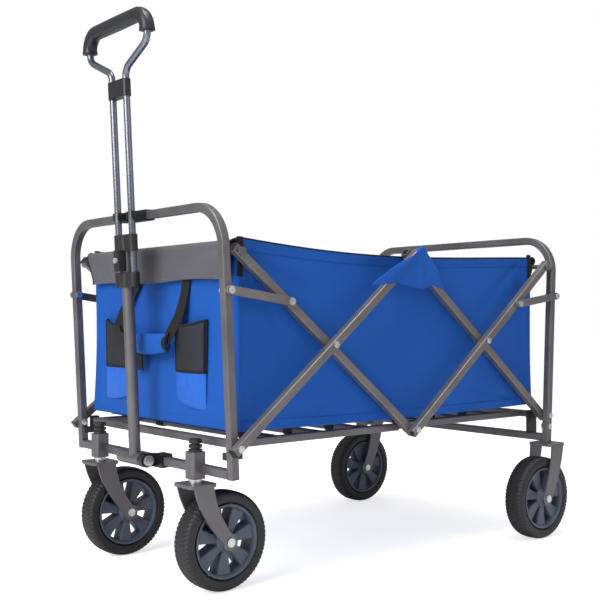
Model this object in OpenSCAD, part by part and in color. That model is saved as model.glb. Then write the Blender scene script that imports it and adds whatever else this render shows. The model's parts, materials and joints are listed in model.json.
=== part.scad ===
// Folding utility wagon: two end frames joined by scissor bars, a fabric basket
// on two hem rods, a folding slatted floor, four wheels and a telescoping handle.
// Millimetres, +Z up, -Y towards the handle, +X to the wagon's left as it is pulled.

/* [Frames] */
// Outer width of the front frame
frame_w = 550; // [480:1:640]
// Distance from the wagon's middle to each bar pivot line
pivot_y = 428; // [380:1:520]
// Height of the lower pivots above the ground
pivot_z = 266; // [262:1:290]
// Side of the square frame tube
tube = 16; // [14:1:18]
// Wall of every metal tube
wall = 1.5; // [1:0.1:2.5]
// Centre-line radius of the frame corners
corner_r = 72; // [50:1:90]
// Height of the top of the front frame
front_top = 684; // [640:1:740]
// Height of the top of the rear frame
rear_top = 668; // [640:1:740]
// Height of the lower end of the front uprights
front_foot = 212; // [208:1:218]
// Height of the lower end of the rear uprights
rear_foot = 206; // [200:1:214]
// Outward lean of both end frames, degrees
lean = 3; // [0:0.5:5]

/* [Scissor bars] */
// Slope of the bars when the wagon is open, degrees
bar_angle = 38.5; // [36:0.5:41]
// Side of the square bar tube
bar = 16; // [14:1:16]
// Side gap between bars and uprights that pass each other
side_gap = 1; // [0.6:0.1:2]
// Length of a bar past its end pivot
bar_end = 12; // [10:1:16]
// Distance of the hem rods from the wagon's middle
rod_y = 417; // [370:1:509]
// Height of the link bolts on the uprights
link_z = 532; // [500:1:560]
// Thickness of the side links
link_t = 8; // [6:1:10]
// Height of the side links
link_h = 15; // [12:1:18]

/* [Fasteners] */
// Radius of the pivot bolts
bolt_r = 4; // [3:0.5:5]
// Radial clearance of every turning fit
run = 0.05; // [0.02:0.01:0.1]
// Radius of the hem rods
rod_r = 5; // [4:0.5:6]

/* [Floor] */
// Side of the square floor tube
floor_tube = 14; // [12:1:16]
// Height of the floor tube's centre line
floor_z = 268; // [266:1:280]
// Distance from the floor hinges to the bar pivot line
floor_inset = 20; // [20:1:28]
// Distance from the middle of the front side rails to the wagon's centre plane
rail_x = 239; // [200:1:240]
// Number of slats in each half of the floor
slats = 3; // [2:1:4]
// Thickness of the floor boards
board_t = 4; // [2:0.5:6]

/* [Basket] */
// Half width of the basket, to the outside of its side panels
basket_x = 256; // [220:1:256]
// Thickness of the fabric panels
cloth = 3; // [2:0.5:4]
// Height of the bottom of the basket
basket_bottom = 287; // [286:1:300]
// Height of the top edge of the basket
basket_top = 620; // [612:1:640]
// Depth of the flap that folds over the front rod
flap_drop = 68; // [40:1:100]
// Width of each cup pocket
pocket_w = 132; // [90:1:150]
// Depth of each cup pocket's pouch
pocket_d = 28; // [20:1:30]
// Depth of each cup pocket at its mouth
mouth_d = 17; // [12:1:18]
// Height of each cup pocket
pocket_h = 160; // [100:1:180]

/* [Wheels] */
// Wheel diameter
wheel_d = 178; // [160:1:180]
// Tyre width
tyre_w = 44; // [36:1:46]
// Rim diameter
rim_d = 130; // [110:1:134]
// Spokes in each rim
spokes = 7; // [5:1:9]
// Distance of each caster from the centre plane
caster_x = 172; // [140:1:190]
// Distance of each swivel axis ahead of the front crossbar
caster_set = 13; // [8:1:14]
// Distance of the caster wheel behind its swivel axis
trail = 55; // [45:1:58]
// Distance of the rear axle ahead of the foot of the rear upright
rear_axle_set = 37; // [20:1:45]

/* [Handle] */
// Distance of the handle's pivot ahead of the bar pivot line
handle_set = 30; // [28:1:40]
// Height of the handle's pivot
handle_z = 222; // [218:1:226]
// Diameter of the lower handle pole
pole_d = 22; // [18:1:24]
// Length of the lower handle pole
pole_len = 415; // [360:1:425]
// Diameter of the twin sliding tubes
slide_d = 13; // [10:1:14]
// Distance between the centre lines of the twin sliding tubes
slide_gap = 50; // [44:1:60]
// Distance from the pivot to the top of the grip's centre line
grip_s = 810; // [804:1:860]
// Half width of the grip, to its centre line
grip_x = 106; // [90:1:130]
// Radius of the moulded grip
grip_r = 15; // [12:0.5:18]

/* [Hidden] */
$fn = 48;

// Side planes: the inner bars share the front uprights' plane, the outer bars the rear uprights'.
half_w = frame_w / 2;
inner_x = half_w - tube / 2;
outer_x = half_w + side_gap + tube / 2;
link_x = half_w + side_gap + link_t / 2;
rear_link_x = outer_x + tube / 2 + side_gap + link_t / 2;

// Points of the scissor linkage as [y, z]. Every pivot to pivot length is half_bar.
half_bar = pivot_y / (2 * cos(bar_angle));
front_pivot = [-pivot_y, pivot_z];
rear_pivot = [pivot_y, pivot_z];
bottom_pivot = [0, pivot_z];
top_pivot = [0, pivot_z + pivot_y * tan(bar_angle)];
front_cross = (front_pivot + top_pivot) / 2;
rear_cross = [-front_cross[0], front_cross[1]];
rod_z = pivot_z + rod_y * tan(bar_angle);
front_rod_at = [-rod_y, rod_z];
rear_rod_at = [rod_y, rod_z];

// Link bolts sit on the leaning uprights. The links reach the bars where their length is the
// same with the wagon open and folded.
fold_angle = 80;
link_y = pivot_y + (link_z - pivot_z) * tan(lean);
closed_cross = front_pivot + half_bar * [cos(fold_angle), sin(fold_angle)];
link_bolt = [-link_y, link_z];
open_step = [-cos(bar_angle), sin(bar_angle)];
closed_step = [-cos(fold_angle), sin(fold_angle)];
open_gap = front_cross - link_bolt;
closed_gap = closed_cross - link_bolt;
link_on_bar = (closed_gap * closed_gap - open_gap * open_gap)
    / (2 * (open_gap * open_step - closed_gap * closed_step));
link_end = front_cross + link_on_bar * open_step;

// Foot of each end frame and the lines of its crossbar
front_foot_y = -pivot_y + (pivot_z - front_foot - tube / 2) * tan(lean);
rear_foot_y = pivot_y - (pivot_z - rear_foot - tube / 2) * tan(lean);
crossbar_z = front_foot + tube / 2;
rear_crossbar_z = rear_foot + tube / 2 + 3;

// Thickness of the nuts, which face the basket
nut_t = 2.2;

// Wheels
wheel_r = wheel_d / 2;
axle_r = 5;
housing = 28;
housing_bottom = crossbar_z - 16;
housing_top = crossbar_z + 31;
stem_r = 8;
plate_t = 6;
bearing_t = 8;
plate_top = housing_bottom - bearing_t;
leg_t = 4;
leg_in = tyre_w / 2 + 4;
caster_y = front_foot_y - caster_set;
front_wheel_y = caster_y + trail;
rear_wheel_y = rear_foot_y - rear_axle_set;

// Floor hinge lines
hinge_y = pivot_y - floor_inset;
rear_rail_x = rail_x - floor_tube - 2;
rail_len = hinge_y - 6;
slat_reach = 320;
board_reach = 344;
board_half_w = rear_rail_x - floor_tube / 2 - 2;

// Handle frame: origin on the pivot barrel, s up the pole. The top bar and crossbar of the
// front frame lie at bar_back behind it.
handle_y = pivot_y + handle_set;
bar_back = handle_set * cos(lean) + (pivot_z - handle_z) * sin(lean);
frame_s = (pivot_z - handle_z) * cos(lean) - handle_set * sin(lean);
top_bar_s = frame_s + (front_top - pivot_z) / cos(lean) - tube / 2;
barrel_r = 12;
barrel_pin_r = 6;
barrel_in = 25;
barrel_out = 50;
slide_block_s = 320;
slide_block_h = 28;
pole_block_h = 31;
pole_block_s = pole_len - pole_block_h + 3;
clamp_s = 672;
clamp_h = 32;
button_r = 5;
button_s = slide_block_s + slide_block_h + 22;
button_y = -pole_d / 2 - 11;
button_out = 4;

// ---------- sections and tubes ----------

// A rectangle with round corners, centred
module round_rect(a, b, r) {
    square([a, b - 2 * r], center = true);
    square([a - 2 * r, b], center = true);
    for (i = [-1, 1], j = [-1, 1])
        translate([i * (a / 2 - r), j * (b / 2 - r)]) circle(r, $fn = 24);
}

// The wall of a square tube of side s
module tube_section(s) {
    difference() {
        round_rect(s, s, 2.5);
        round_rect(s - 2 * wall, s - 2 * wall, 1);
    }
}

// A square tube along +Y from the origin
module tube_along_y(s, len) {
    rotate([-90, 0, 0]) linear_extrude(len) tube_section(s);
}

// A square tube along X, centred
module tube_along_x(s, len) {
    rotate([0, 90, 0]) linear_extrude(len, center = true) tube_section(s);
}

// A round rod along X from x0 to x1
module rod_along_x(r, x0, x1) {
    translate([x0, 0, 0]) rotate([0, 90, 0]) cylinder(r = r, h = x1 - x0);
}

// Children on both sides of the wagon, drawn for +X
module both_sides() {
    for (side = [0, 1]) mirror([side, 0, 0]) children();
}

// Places children at a [y, z] point
module at(p) {
    translate([0, p[0], p[1]]) children();
}

// A bolt along X: shank from x0 to x1, a domed head past x1 and a nut inside x0
module bolt(r, x0, x1) {
    rod_along_x(r, x0 - nut_t, x1);
    rod_along_x(r * 1.6, x1, x1 + 2.5);
    rod_along_x(r * 1.1, x1 + 2.5, x1 + 4);
    rod_along_x(r * 1.7, x0 - nut_t, x0);
}

// A scissor bar from p to q in side plane x, with a bore at each distance from p in bores
module scissor_bar(x, p, q, bores) {
    d = q - p;
    len = norm(d);
    translate([x, p[0], p[1]]) rotate([atan2(d[1], d[0]), 0, 0]) difference() {
        translate([0, -bar_end, 0]) tube_along_y(bar, len + 2 * bar_end);
        for (b = bores) translate([0, b, 0]) rod_along_x(bolt_r + run, -bar, bar);
    }
}

// Black plugs in the open ends of a scissor bar
module bar_caps(x, p, q) {
    d = q - p;
    len = norm(d);
    translate([x, p[0], p[1]]) rotate([atan2(d[1], d[0]), 0, 0])
        for (y = [-bar_end - 2, len + bar_end])
            translate([-bar / 2 + 0.5, y, -bar / 2 + 0.5]) cube([bar - 1, 2, bar - 1]);
}

// ---------- end frames ----------

// The inverted U of an end frame in its own upright plane, from z0 to z1 at half width w
module u_frame(w, z0, z1) {
    straight = z1 - tube / 2 - corner_r;
    both_sides() {
        translate([w, 0, z0]) linear_extrude(straight - z0) tube_section(tube);
        translate([w - corner_r, 0, straight]) rotate([90, 0, 0])
            rotate_extrude(angle = 90) translate([corner_r, 0]) tube_section(tube);
    }
    translate([0, 0, z1 - tube / 2]) tube_along_x(tube, 2 * (w - corner_r));
}

// The leaning plane of the front frame, and of the rear one with side = -1
module leaning(side = 1) {
    translate([0, -side * pivot_y, pivot_z]) rotate([side * lean, 0, 0]) children();
}

module front_frame_tube() color("dimgray") difference() {
    leaning() u_frame(inner_x, (front_foot - pivot_z) / cos(lean), (front_top - pivot_z) / cos(lean));
    for (p = [front_pivot, link_bolt])
        at(p) rod_along_x(bolt_r, -frame_w, frame_w);
}

// The feet are cut level, where they stand on the plates of the rear forks
module rear_frame_tube() color("dimgray") difference() {
    leaning(-1)
        u_frame(outer_x, (rear_foot - 2 - pivot_z) / cos(lean), (rear_top - pivot_z) / cos(lean));
    translate([-frame_w, 0, rear_foot - tube]) cube([2 * frame_w, 2 * pivot_y, tube]);
    for (p = [rear_pivot, [link_y, link_z], [rear_foot_y, rear_foot + 36]])
        at(p) rod_along_x(bolt_r, -frame_w, frame_w);
}

// The housings are welded into the crossbar, which is cut away where they stand
module front_crossbar() color("dimgray") difference() {
    translate([0, front_foot_y, crossbar_z]) tube_along_x(tube, 2 * inner_x - tube);
    for (side = [-1, 1]) translate([side * caster_x - housing / 2, caster_y - housing / 2, 0])
        cube([housing, housing, housing_top]);
}

module caster_housings() color("dimgray") both_sides()
    translate([caster_x, caster_y, housing_bottom]) difference() {
        linear_extrude(housing_top - housing_bottom) round_rect(housing, housing, 5);
        translate([0, 0, -1]) cylinder(r = stem_r + run, h = housing_top - housing_bottom - 4);
    }

module rest_caps() color("black") both_sides() translate([caster_x, caster_y, housing_top]) {
    cylinder(r = 12.5, h = 4);
    translate([0, 0, 4]) cylinder(r = 9, h = 3);
    translate([0, 0, 7]) cylinder(r = 12, h = 5);
    translate([0, 0, 12]) cylinder(r = 8, h = 3);
    translate([0, 0, 15]) cylinder(r = 11.5, h = 7);
}

module rear_crossbar() color("dimgray")
    translate([0, rear_foot_y, rear_crossbar_z]) tube_along_x(tube, 2 * outer_x - tube);

module front_pivot_bolts() color("silver") {
    both_sides() {
        at(front_pivot) bolt(bolt_r, half_w - tube, outer_x + bar / 2 + 0.5);
        at(link_bolt) bolt(bolt_r, half_w - tube, link_x + link_t / 2 + 0.5);
    }
    translate([0, -handle_y, handle_z]) {
        rod_along_x(barrel_pin_r, -barrel_out - 1, 46);
        rod_along_x(10, 46, 50);
        rod_along_x(8, -barrel_out - 4, -barrel_out - 1);
    }
}

// Pivot bolts, link bolts and wheel bolts of the rear frame
module rear_bolts() color("silver") both_sides() {
    at(rear_pivot) bolt(bolt_r, half_w - tube - 1, outer_x + tube / 2);
    at([link_y, link_z]) bolt(bolt_r, outer_x - tube / 2, rear_link_x + link_t / 2 + 0.5);
    at([rear_foot_y, rear_foot + 36]) bolt(bolt_r, outer_x - tube / 2, outer_x + tube / 2);
    translate([outer_x, rear_wheel_y, wheel_r]) wheel_bolt();
}

// Black brackets on the inside of the front uprights, each with a pin for the floor
module front_floor_hinges() color("black") both_sides() at([-hinge_y, floor_z]) {
    thick = inner_x - tube / 2 - rail_x - floor_tube / 2 - 1;
    translate([rail_x + floor_tube / 2 + 1, -8, -24]) cube([thick, 16, 34]);
    translate([rail_x + floor_tube / 2 + 1, -tube - floor_inset + 10, -24])
        cube([thick, tube + floor_inset - 10, 12]);
    rod_along_x(bolt_r, rail_x - 3, rail_x + floor_tube / 2 + 2);
}

// Plates that stand on the rear crossbar, each with a pin for the floor
module rear_floor_hinges() color("black") both_sides() {
    plate_bottom = rear_crossbar_z + tube / 2;
    translate([rail_x + floor_tube / 2 + 1, hinge_y - 8, plate_bottom])
        cube([4, rear_foot_y + tube / 2 - hinge_y + 8, floor_z + 8 - plate_bottom]);
    at([hinge_y, floor_z]) rod_along_x(bolt_r, rail_x - 3, rail_x + floor_tube / 2 + 2);
}

// ---------- scissor bars and links ----------

module outer_bars_front() color("dimgray") both_sides()
    scissor_bar(outer_x, front_pivot, top_pivot, [0, half_bar, 2 * half_bar]);

module outer_bar_caps() color("black") both_sides()
    bar_caps(outer_x, front_pivot, top_pivot);

module outer_bar_bolts() color("silver") both_sides() for (p = [front_cross, top_pivot])
    at(p) bolt(bolt_r, inner_x - bar / 2 - 0.5, outer_x + bar / 2);

// The bar runs from the bottom centre pivot up to the hem rod, which turns in its top end
module inner_bars_front() color("dimgray") difference() {
    both_sides() scissor_bar(inner_x, bottom_pivot, front_rod_at, [half_bar]);
    at(front_rod_at) rod_along_x(rod_r + run, -frame_w, frame_w);
    at(bottom_pivot) rod_along_x(bolt_r + 0.6, -frame_w, frame_w);
}

module inner_bar_caps() color("black") both_sides()
    bar_caps(inner_x, bottom_pivot, front_rod_at);

module inner_bars_rear() color("dimgray") both_sides()
    scissor_bar(inner_x, rear_pivot, top_pivot, [0, half_bar, 2 * half_bar]);

module inner_bar_bolts() color("silver") both_sides()
    at(rear_cross) bolt(bolt_r, inner_x - bar / 2, outer_x + bar / 2 + 0.5);

module outer_bars_rear() color("dimgray") difference() {
    both_sides() scissor_bar(outer_x, bottom_pivot, rear_rod_at, [half_bar]);
    at(rear_rod_at) rod_along_x(rod_r + run, -frame_w, frame_w);
    at(bottom_pivot) rod_along_x(bolt_r, -frame_w, frame_w);
}

module bottom_bolts() color("silver") both_sides()
    at(bottom_pivot) bolt(bolt_r, inner_x - bar / 2 - 0.5, outer_x + bar / 2);

// A flat-sided link with round ends from p to q, bored at p for its bolt and at q for its rivet
module side_link(x, p, q) {
    d = q - p;
    translate([x, p[0], p[1]]) rotate([atan2(d[1], d[0]), 0, 0]) difference() {
        union() {
            translate([-link_t / 2, 0, -link_h / 2]) cube([link_t, norm(d), link_h]);
            for (y = [0, norm(d)]) translate([0, y, 0]) rod_along_x(link_h / 2, -link_t / 2, link_t / 2);
        }
        rod_along_x(bolt_r + run, -link_t, link_t);
        translate([0, norm(d), 0]) rod_along_x(bolt_r, -link_t, link_t);
    }
}

module link_rivet(x, q) {
    at(q) {
        rod_along_x(bolt_r, x - link_t / 2, x + link_t / 2);
        rod_along_x(bolt_r * 1.7, x + link_t / 2, x + link_t / 2 + 2.5);
    }
}

module front_links() color("dimgray") both_sides() side_link(link_x, link_bolt, link_end);

module front_link_rivets() color("silver") both_sides() link_rivet(link_x, link_end);

module rear_links() color("dimgray") both_sides()
    side_link(rear_link_x, [link_y, link_z], [-link_end[0], link_end[1]]);

module rear_link_rivets() color("silver") both_sides()
    link_rivet(rear_link_x, [-link_end[0], link_end[1]]);

// ---------- basket ----------

// A hem rod with a round knob on each end, outside the bars
module hem_rod(x_end) {
    rod_along_x(rod_r, -x_end, x_end);
    both_sides() rod_along_x(rod_r + 2.5, x_end, x_end + 6);
}

module front_rod() color("dimgray") at(front_rod_at) hem_rod(inner_x + bar / 2 + 1);

module rear_rod() color("dimgray") at(rear_rod_at) hem_rod(outer_x + bar / 2 + 1);

panel_y = rod_y - rod_r - 0.5;
panel_w = 2 * (basket_x - cloth - 0.5);

module end_panel(side) {
    translate([-panel_w / 2, side > 0 ? panel_y - cloth : -panel_y, basket_bottom + 11])
        cube([panel_w, cloth, basket_top - basket_bottom - 11 - cloth]);
}

module front_panel() color("royalblue") end_panel(-1);

module rear_panel() color("royalblue") end_panel(1);

// The hem that folds over the rod and hangs outside it, as an inverted L
module rod_flap(side, drop) {
    outer = rod_y + rod_r + 0.5;
    rotate([0, 0, side > 0 ? 180 : 0]) translate([-basket_x + 1, 0, 0]) rotate([90, 0, 90])
        linear_extrude(2 * basket_x - 2) polygon([
            [-outer - cloth, basket_top - drop],
            [-outer, basket_top - drop],
            [-outer, basket_top - cloth],
            [-panel_y + cloth, basket_top - cloth],
            [-panel_y + cloth, basket_top],
            [-outer - cloth, basket_top]
        ]);
}

module front_flap() color("slategray") rod_flap(-1, flap_drop);

module rear_flap() color("slategray") rod_flap(1, 34);

// Side panels with a lower rear corner cut away
module side_panels() color("royalblue") both_sides()
    translate([basket_x - cloth, 0, 0]) rotate([90, 0, 90]) linear_extrude(cloth) polygon([
        [-panel_y + cloth + 0.5, basket_bottom],
        [panel_y - 40, basket_bottom],
        [panel_y - cloth - 0.5, basket_bottom + 14],
        [panel_y - cloth - 0.5, basket_top - 4],
        [0, basket_top - 6],
        [-panel_y + cloth + 0.5, basket_top]
    ]);

// Cloth corners that hang over the top centre pivots
flap_top = basket_top + 5;
module centre_flaps() color("royalblue") both_sides() {
    outside = outer_x + bar / 2 + 6;
    translate([outside, 0, 0]) rotate([90, 0, 90]) linear_extrude(cloth) polygon([
        [-36, flap_top],
        [36, flap_top],
        [70, flap_top - 76],
        [-120, flap_top - 74]
    ]);
    translate([basket_x, -30, flap_top - cloth]) cube([outside - basket_x, 60, cloth]);
}

pocket_x = 132;
pocket_z = 320;
pouch_h = 80;

// Section of a pocket in (Y, Z), measured out from the panel: a deep pouch under a flat mouth
module pocket_section(wall) {
    polygon([
        [-wall, wall],
        [pocket_d - wall, wall],
        [pocket_d - wall, pouch_h - wall],
        [mouth_d - wall, pouch_h + 12 - wall],
        [mouth_d - wall, pocket_h + wall],
        [-wall, pocket_h + wall]
    ]);
}

module cup_pockets() color("royalblue") both_sides()
    translate([pocket_x - pocket_w / 2, -panel_y, pocket_z]) mirror([0, 1, 0]) rotate([90, 0, 90])
        difference() {
            linear_extrude(pocket_w) pocket_section(0);
            translate([0, 0, 2]) linear_extrude(pocket_w - 4) pocket_section(2);
        }

// Two webbing straps from under the flap to a padded cuff
cuff_z = 440;
cuff_y = -panel_y - mouth_d - 10;
strap_y = -panel_y - mouth_d - 2.5;
module strap(x0, x1) {
    knee_z = pocket_z + pocket_h + 6;
    hull() {
        translate([x0 - 12, -panel_y - 5, basket_top - flap_drop - 5]) cube([24, 2, 2]);
        translate([x1 - 12, strap_y, knee_z]) cube([24, 2, 2]);
    }
    hull() {
        translate([x1 - 12, strap_y, knee_z]) cube([24, 2, 2]);
        translate([x1 - 12, strap_y, knee_z - 20]) cube([24, 2, 2]);
    }
    hull() {
        translate([x1 - 12, strap_y, knee_z - 20]) cube([24, 2, 2]);
        translate([x1 - 12 + (x1 > 0 ? -8 : 8), cuff_y, cuff_z]) cube([24, 2, 2]);
    }
}

module carry_handle() color("black") {
    strap(112, 88);
    strap(-24, -92);
    translate([-92, cuff_y - 3, cuff_z - 14]) cube([180, 6, 28]);
}

// ---------- floor ----------

// Half of the folding floor, hinged at the origin and reaching towards +Y, with its side
// rails at half width x
module floor_half(x) {
    difference() {
        union() {
            tube_along_x(floor_tube, 2 * rail_x + floor_tube);
            both_sides() translate([rail_x - 6, 0, 0])
                rotate([0, 90, 0]) linear_extrude(12) round_rect(floor_tube - 1, floor_tube - 1, 1);
        }
        rod_along_x(bolt_r + run, rail_x - 7, frame_w);
        rod_along_x(bolt_r + run, -frame_w, -rail_x + 7);
    }
    both_sides() translate([x, floor_tube / 2, 0]) tube_along_y(floor_tube, rail_len - floor_tube / 2);
    for (i = [1:slats]) translate([0, slat_reach * i / slats - floor_tube / 2, 0])
        tube_along_x(floor_tube, 2 * x - floor_tube);
}

module front_floor_frame() color("dimgray") at([-hinge_y, floor_z]) floor_half(rail_x);

module rear_floor_frame() color("dimgray") rotate([0, 0, 180]) at([-hinge_y, floor_z])
    floor_half(rear_rail_x);

// The stiff base of the basket, level with its bottom hem
module floor_board() {
    translate([-board_half_w, -hinge_y + 14, basket_bottom - board_t])
        cube([2 * board_half_w, board_reach - 14, board_t]);
}

module front_floor_board() color("darkslategray") floor_board();

module rear_floor_board() color("darkslategray") rotate([0, 0, 180]) floor_board();

// Webbing ties that hold a board to its slats
module floor_ties() {
    slat_top = floor_z + floor_tube / 2;
    both_sides() for (i = [1:slats])
        translate([rear_rail_x - 90, -hinge_y + slat_reach * i / slats - floor_tube + 1, slat_top])
            cube([25, floor_tube - 2, basket_bottom - board_t - slat_top]);
}

module front_floor_ties() color("black") floor_ties();

module rear_floor_ties() color("black") rotate([0, 0, 180]) floor_ties();

// ---------- wheels and forks ----------

// Places children at a wheel's centre, with its axle along X
module wheel_place(x, y) {
    translate([x, y, wheel_r]) rotate([0, 90, 0]) children();
}

// A tyre as a turned profile: flat bead seat, straight side walls and a crowned tread
crown_r = 60;
module tyre(x, y) {
    color("black") wheel_place(x, y) rotate_extrude($fn = 96) intersection() {
        translate([wheel_r - crown_r, 0]) circle(r = crown_r, $fn = 96);
        translate([rim_d / 2, -tyre_w / 2]) square([wheel_r - rim_d / 2 + 1, tyre_w]);
    }
}

hub_r = 21;
hub_w = tyre_w + 4;
rim_w = tyre_w - 8;
rim_wall = 6;
rim_dish = 5;
window_turn = 200 / spokes;

// A ring from radius r0 to r1, or an angle of it, from z0 to z1
module ring_part(r0, r1, z0, z1, turn = 360) {
    rotate_extrude(angle = turn, $fn = 96) translate([r0, z0]) square([r1 - r0, z1 - z0]);
}

// A moulded rim: a solid wheel with a dished face on each side and a window between its spokes
module rim(x, y) {
    color("steelblue") wheel_place(x, y) difference() {
        union() {
            cylinder(r = rim_d / 2, h = rim_w, center = true, $fn = 96);
            cylinder(r = hub_r, h = hub_w, center = true);
        }
        for (z = [rim_w / 2 - rim_dish, -rim_w / 2 - 1])
            ring_part(hub_r + 3, rim_d / 2 - rim_wall, z, z + rim_dish + 1);
        for (i = [0:spokes - 1]) rotate([0, 0, 360 * i / spokes])
            ring_part(hub_r + 8, rim_d / 2 - rim_wall - 3, -rim_w, rim_w, window_turn);
        cylinder(r = axle_r + run, h = hub_w + 2, center = true);
    }
}

// Outline of a swept fork leg in [y, z] from the plate at [0, top] to the hub at [dy, 0]
function leg_mid(t, dy, top) = [dy * (1 - pow(1 - t, 1.8)) * 0.15 + dy * 0.85 * t * t, top * (1 - t)];
function leg_half(t) = 20 - 5 * t;
function leg_side(side, dy, top) = [
    for (i = [0:12]) let (t = i / 12) leg_mid(t, dy, top) + [side * leg_half(t), 0]
];

module fork_leg(dy, top) {
    points = concat(leg_side(-1, dy, top), [for (i = [12:-1:0]) leg_side(1, dy, top)[i]]);
    rotate([90, 0, 90]) linear_extrude(leg_t) difference() {
        union() {
            polygon(points);
            translate([dy, 0]) circle(r = 15);
        }
        translate([dy, 0]) circle(r = axle_r);
    }
}

// A pressed fork: top plate at height top above the axle, two legs that sweep to the hub at dy
module fork(dy, top) {
    for (side = [0, 1]) mirror([side, 0, 0]) translate([leg_in, 0, 0]) fork_leg(dy, top - plate_t);
    translate([0, 0, top - plate_t]) linear_extrude(plate_t) round_rect(2 * (leg_in + leg_t), 56, 8);
}

module caster_fork(side) {
    color("dimgray") translate([side * caster_x, caster_y, wheel_r]) {
        fork(trail, plate_top - wheel_r);
        translate([0, 0, plate_top - wheel_r])
            cylinder(r = stem_r, h = housing_top - plate_top - 8);
    }
}

// The wheel bolt, and the swivel bearing between plate and housing
module caster_axle(side) {
    color("silver") {
        translate([side * caster_x, front_wheel_y, wheel_r]) wheel_bolt();
        translate([side * caster_x, caster_y, plate_top]) difference() {
            cylinder(r = 12, h = bearing_t - 0.4);
            translate([0, 0, -1]) cylinder(r = stem_r, h = bearing_t + 2);
        }
    }
}

module wheel_bolt() {
    rod_along_x(axle_r, -leg_in - leg_t - 4, leg_in + leg_t);
    both_sides() rod_along_x(axle_r * 1.6, leg_in + leg_t, leg_in + leg_t + 3);
    both_sides() rod_along_x(axle_r * 1.05, leg_in + leg_t + 3, leg_in + leg_t + 4);
    both_sides() rod_along_x(axle_r * 1.8, hub_w / 2 + 0.2, leg_in);
}

module caster_fork_left() caster_fork(1);
module caster_fork_right() caster_fork(-1);
module caster_axle_left() caster_axle(1);
module caster_axle_right() caster_axle(-1);

module rear_forks() color("dimgray") both_sides()
    translate([outer_x, rear_foot_y, wheel_r]) fork(-rear_axle_set, rear_foot - wheel_r);

module tyre_front_left() tyre(caster_x, front_wheel_y);
module tyre_front_right() tyre(-caster_x, front_wheel_y);
module tyre_rear_left() tyre(outer_x, rear_wheel_y);
module tyre_rear_right() tyre(-outer_x, rear_wheel_y);
module rim_front_left() rim(caster_x, front_wheel_y);
module rim_front_right() rim(-caster_x, front_wheel_y);
module rim_rear_left() rim(outer_x, rear_wheel_y);
module rim_rear_right() rim(-outer_x, rear_wheel_y);

// ---------- handle ----------

// The handle's own frame
module handle_frame() {
    translate([0, -handle_y, handle_z]) rotate([lean, 0, 0]) children();
}

// A sleeve on the crossbar with one ear for the pivot pin
module handle_bracket() color("black") handle_frame() difference() {
    union() {
        translate([28, bar_back - tube / 2 - 4, frame_s - (pivot_z - crossbar_z) - tube / 2 - 4])
            cube([32, tube + 8, tube + 8]);
        translate([28, 0, -12]) cube([16, bar_back - tube / 2, 22]);
        rod_along_x(13, 28, 44);
    }
    translate([0, bar_back, frame_s - (pivot_z - crossbar_z) / cos(lean)])
        rotate([-lean, 0, 0]) cube([frame_w, tube, tube], center = true);
    rod_along_x(barrel_pin_r, 0, 60);
}

// A sleeve on the top bar with two open jaws that hold the sliding tubes
module handle_clip() color("black") handle_frame() difference() {
    union() {
        translate([-50, bar_back - tube / 2 - 2, top_bar_s - tube / 2 - 2])
            cube([86, tube + 4, tube + 4]);
        both_sides() translate([slide_gap / 2 - 10, -slide_d / 2 + 1, top_bar_s - 7])
            cube([20, bar_back - tube / 2 - 2 + slide_d / 2 - 1, 14]);
    }
    translate([0, bar_back, top_bar_s]) cube([frame_w, tube, tube], center = true);
    both_sides() translate([slide_gap / 2, 0, top_bar_s - 20]) {
        cylinder(r = slide_d / 2 + 0.3, h = 40);
        translate([-slide_d / 2 - 0.3, -slide_d, 0]) cube([slide_d + 0.6, slide_d, 40]);
    }
}

// The lower pole, welded to the pivot barrel
module handle_pole() color("dimgray") handle_frame() difference() {
    union() {
        rod_along_x(barrel_r, -barrel_out, barrel_in);
        cylinder(r = pole_d / 2, h = pole_len);
    }
    translate([0, 0, barrel_r]) cylinder(r = pole_d / 2 - wall, h = pole_len);
    rod_along_x(barrel_pin_r + run, -barrel_out - 1, barrel_in + 1);
}

// A block with round ends that joins the twin tubes, of depth 2 * r
module twin_block(r, h) {
    linear_extrude(h) {
        square([slide_gap, 2 * r], center = true);
        for (side = [-1, 1]) translate([side * slide_gap / 2, 0]) circle(r);
    }
}

// The guide block on the pole's top end, with the latch housing below it
module pole_block() color("black") handle_frame() difference() {
    union() {
        translate([0, 0, pole_block_s]) twin_block(slide_d / 2 + 2.5, pole_block_h);
        translate([0, 0, pole_block_s]) cylinder(r = pole_d / 2 + 2.5, h = pole_block_h);
        translate([-9, button_y, slide_block_s + slide_block_h + 2])
            cube([18, -button_y, pole_block_s - slide_block_s - slide_block_h]);
    }
    cylinder(r = pole_d / 2, h = pole_len);
    both_sides() translate([slide_gap / 2, 0, pole_block_s - 1])
        cylinder(r = slide_d / 2 + 0.1, h = pole_block_h + 2);
    translate([0, button_y + 9, button_s]) rotate([90, 0, 0]) cylinder(r = button_r + run, h = 20);
}

// A push button in the latch housing
module latch_button() color("gray") handle_frame()
    translate([0, button_y + 4.5, button_s]) rotate([90, 0, 0]) cylinder(r = button_r, h = button_out + 4.5);

// Path of one flared tube: up, out by an S of two arcs, up again and over into the grip
flare_r = 24;
flare_turn = 65;
flare_s = clamp_s + clamp_h + 2;
flare_out = grip_x - slide_gap / 2;
flare_run = (flare_out - 2 * flare_r * (1 - cos(flare_turn))) / sin(flare_turn);
flare_end = flare_s + 2 * flare_r * sin(flare_turn) + flare_run * cos(flare_turn);
grip_bend = 28;

// A round tube wall, or a solid rod with hollow = false
module ring(r, hollow) {
    difference() {
        circle(r);
        if (hollow) circle(r - wall);
    }
}

// An arc of tube in the XZ plane that starts at the origin going up and turns towards +X
module arc(r, bend, turn, hollow) {
    translate([bend, 0, 0]) rotate([90, 0, 0]) rotate([0, 0, 180 - turn])
        rotate_extrude(angle = turn, $fn = 96) translate([bend, 0]) ring(r, hollow);
}

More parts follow.
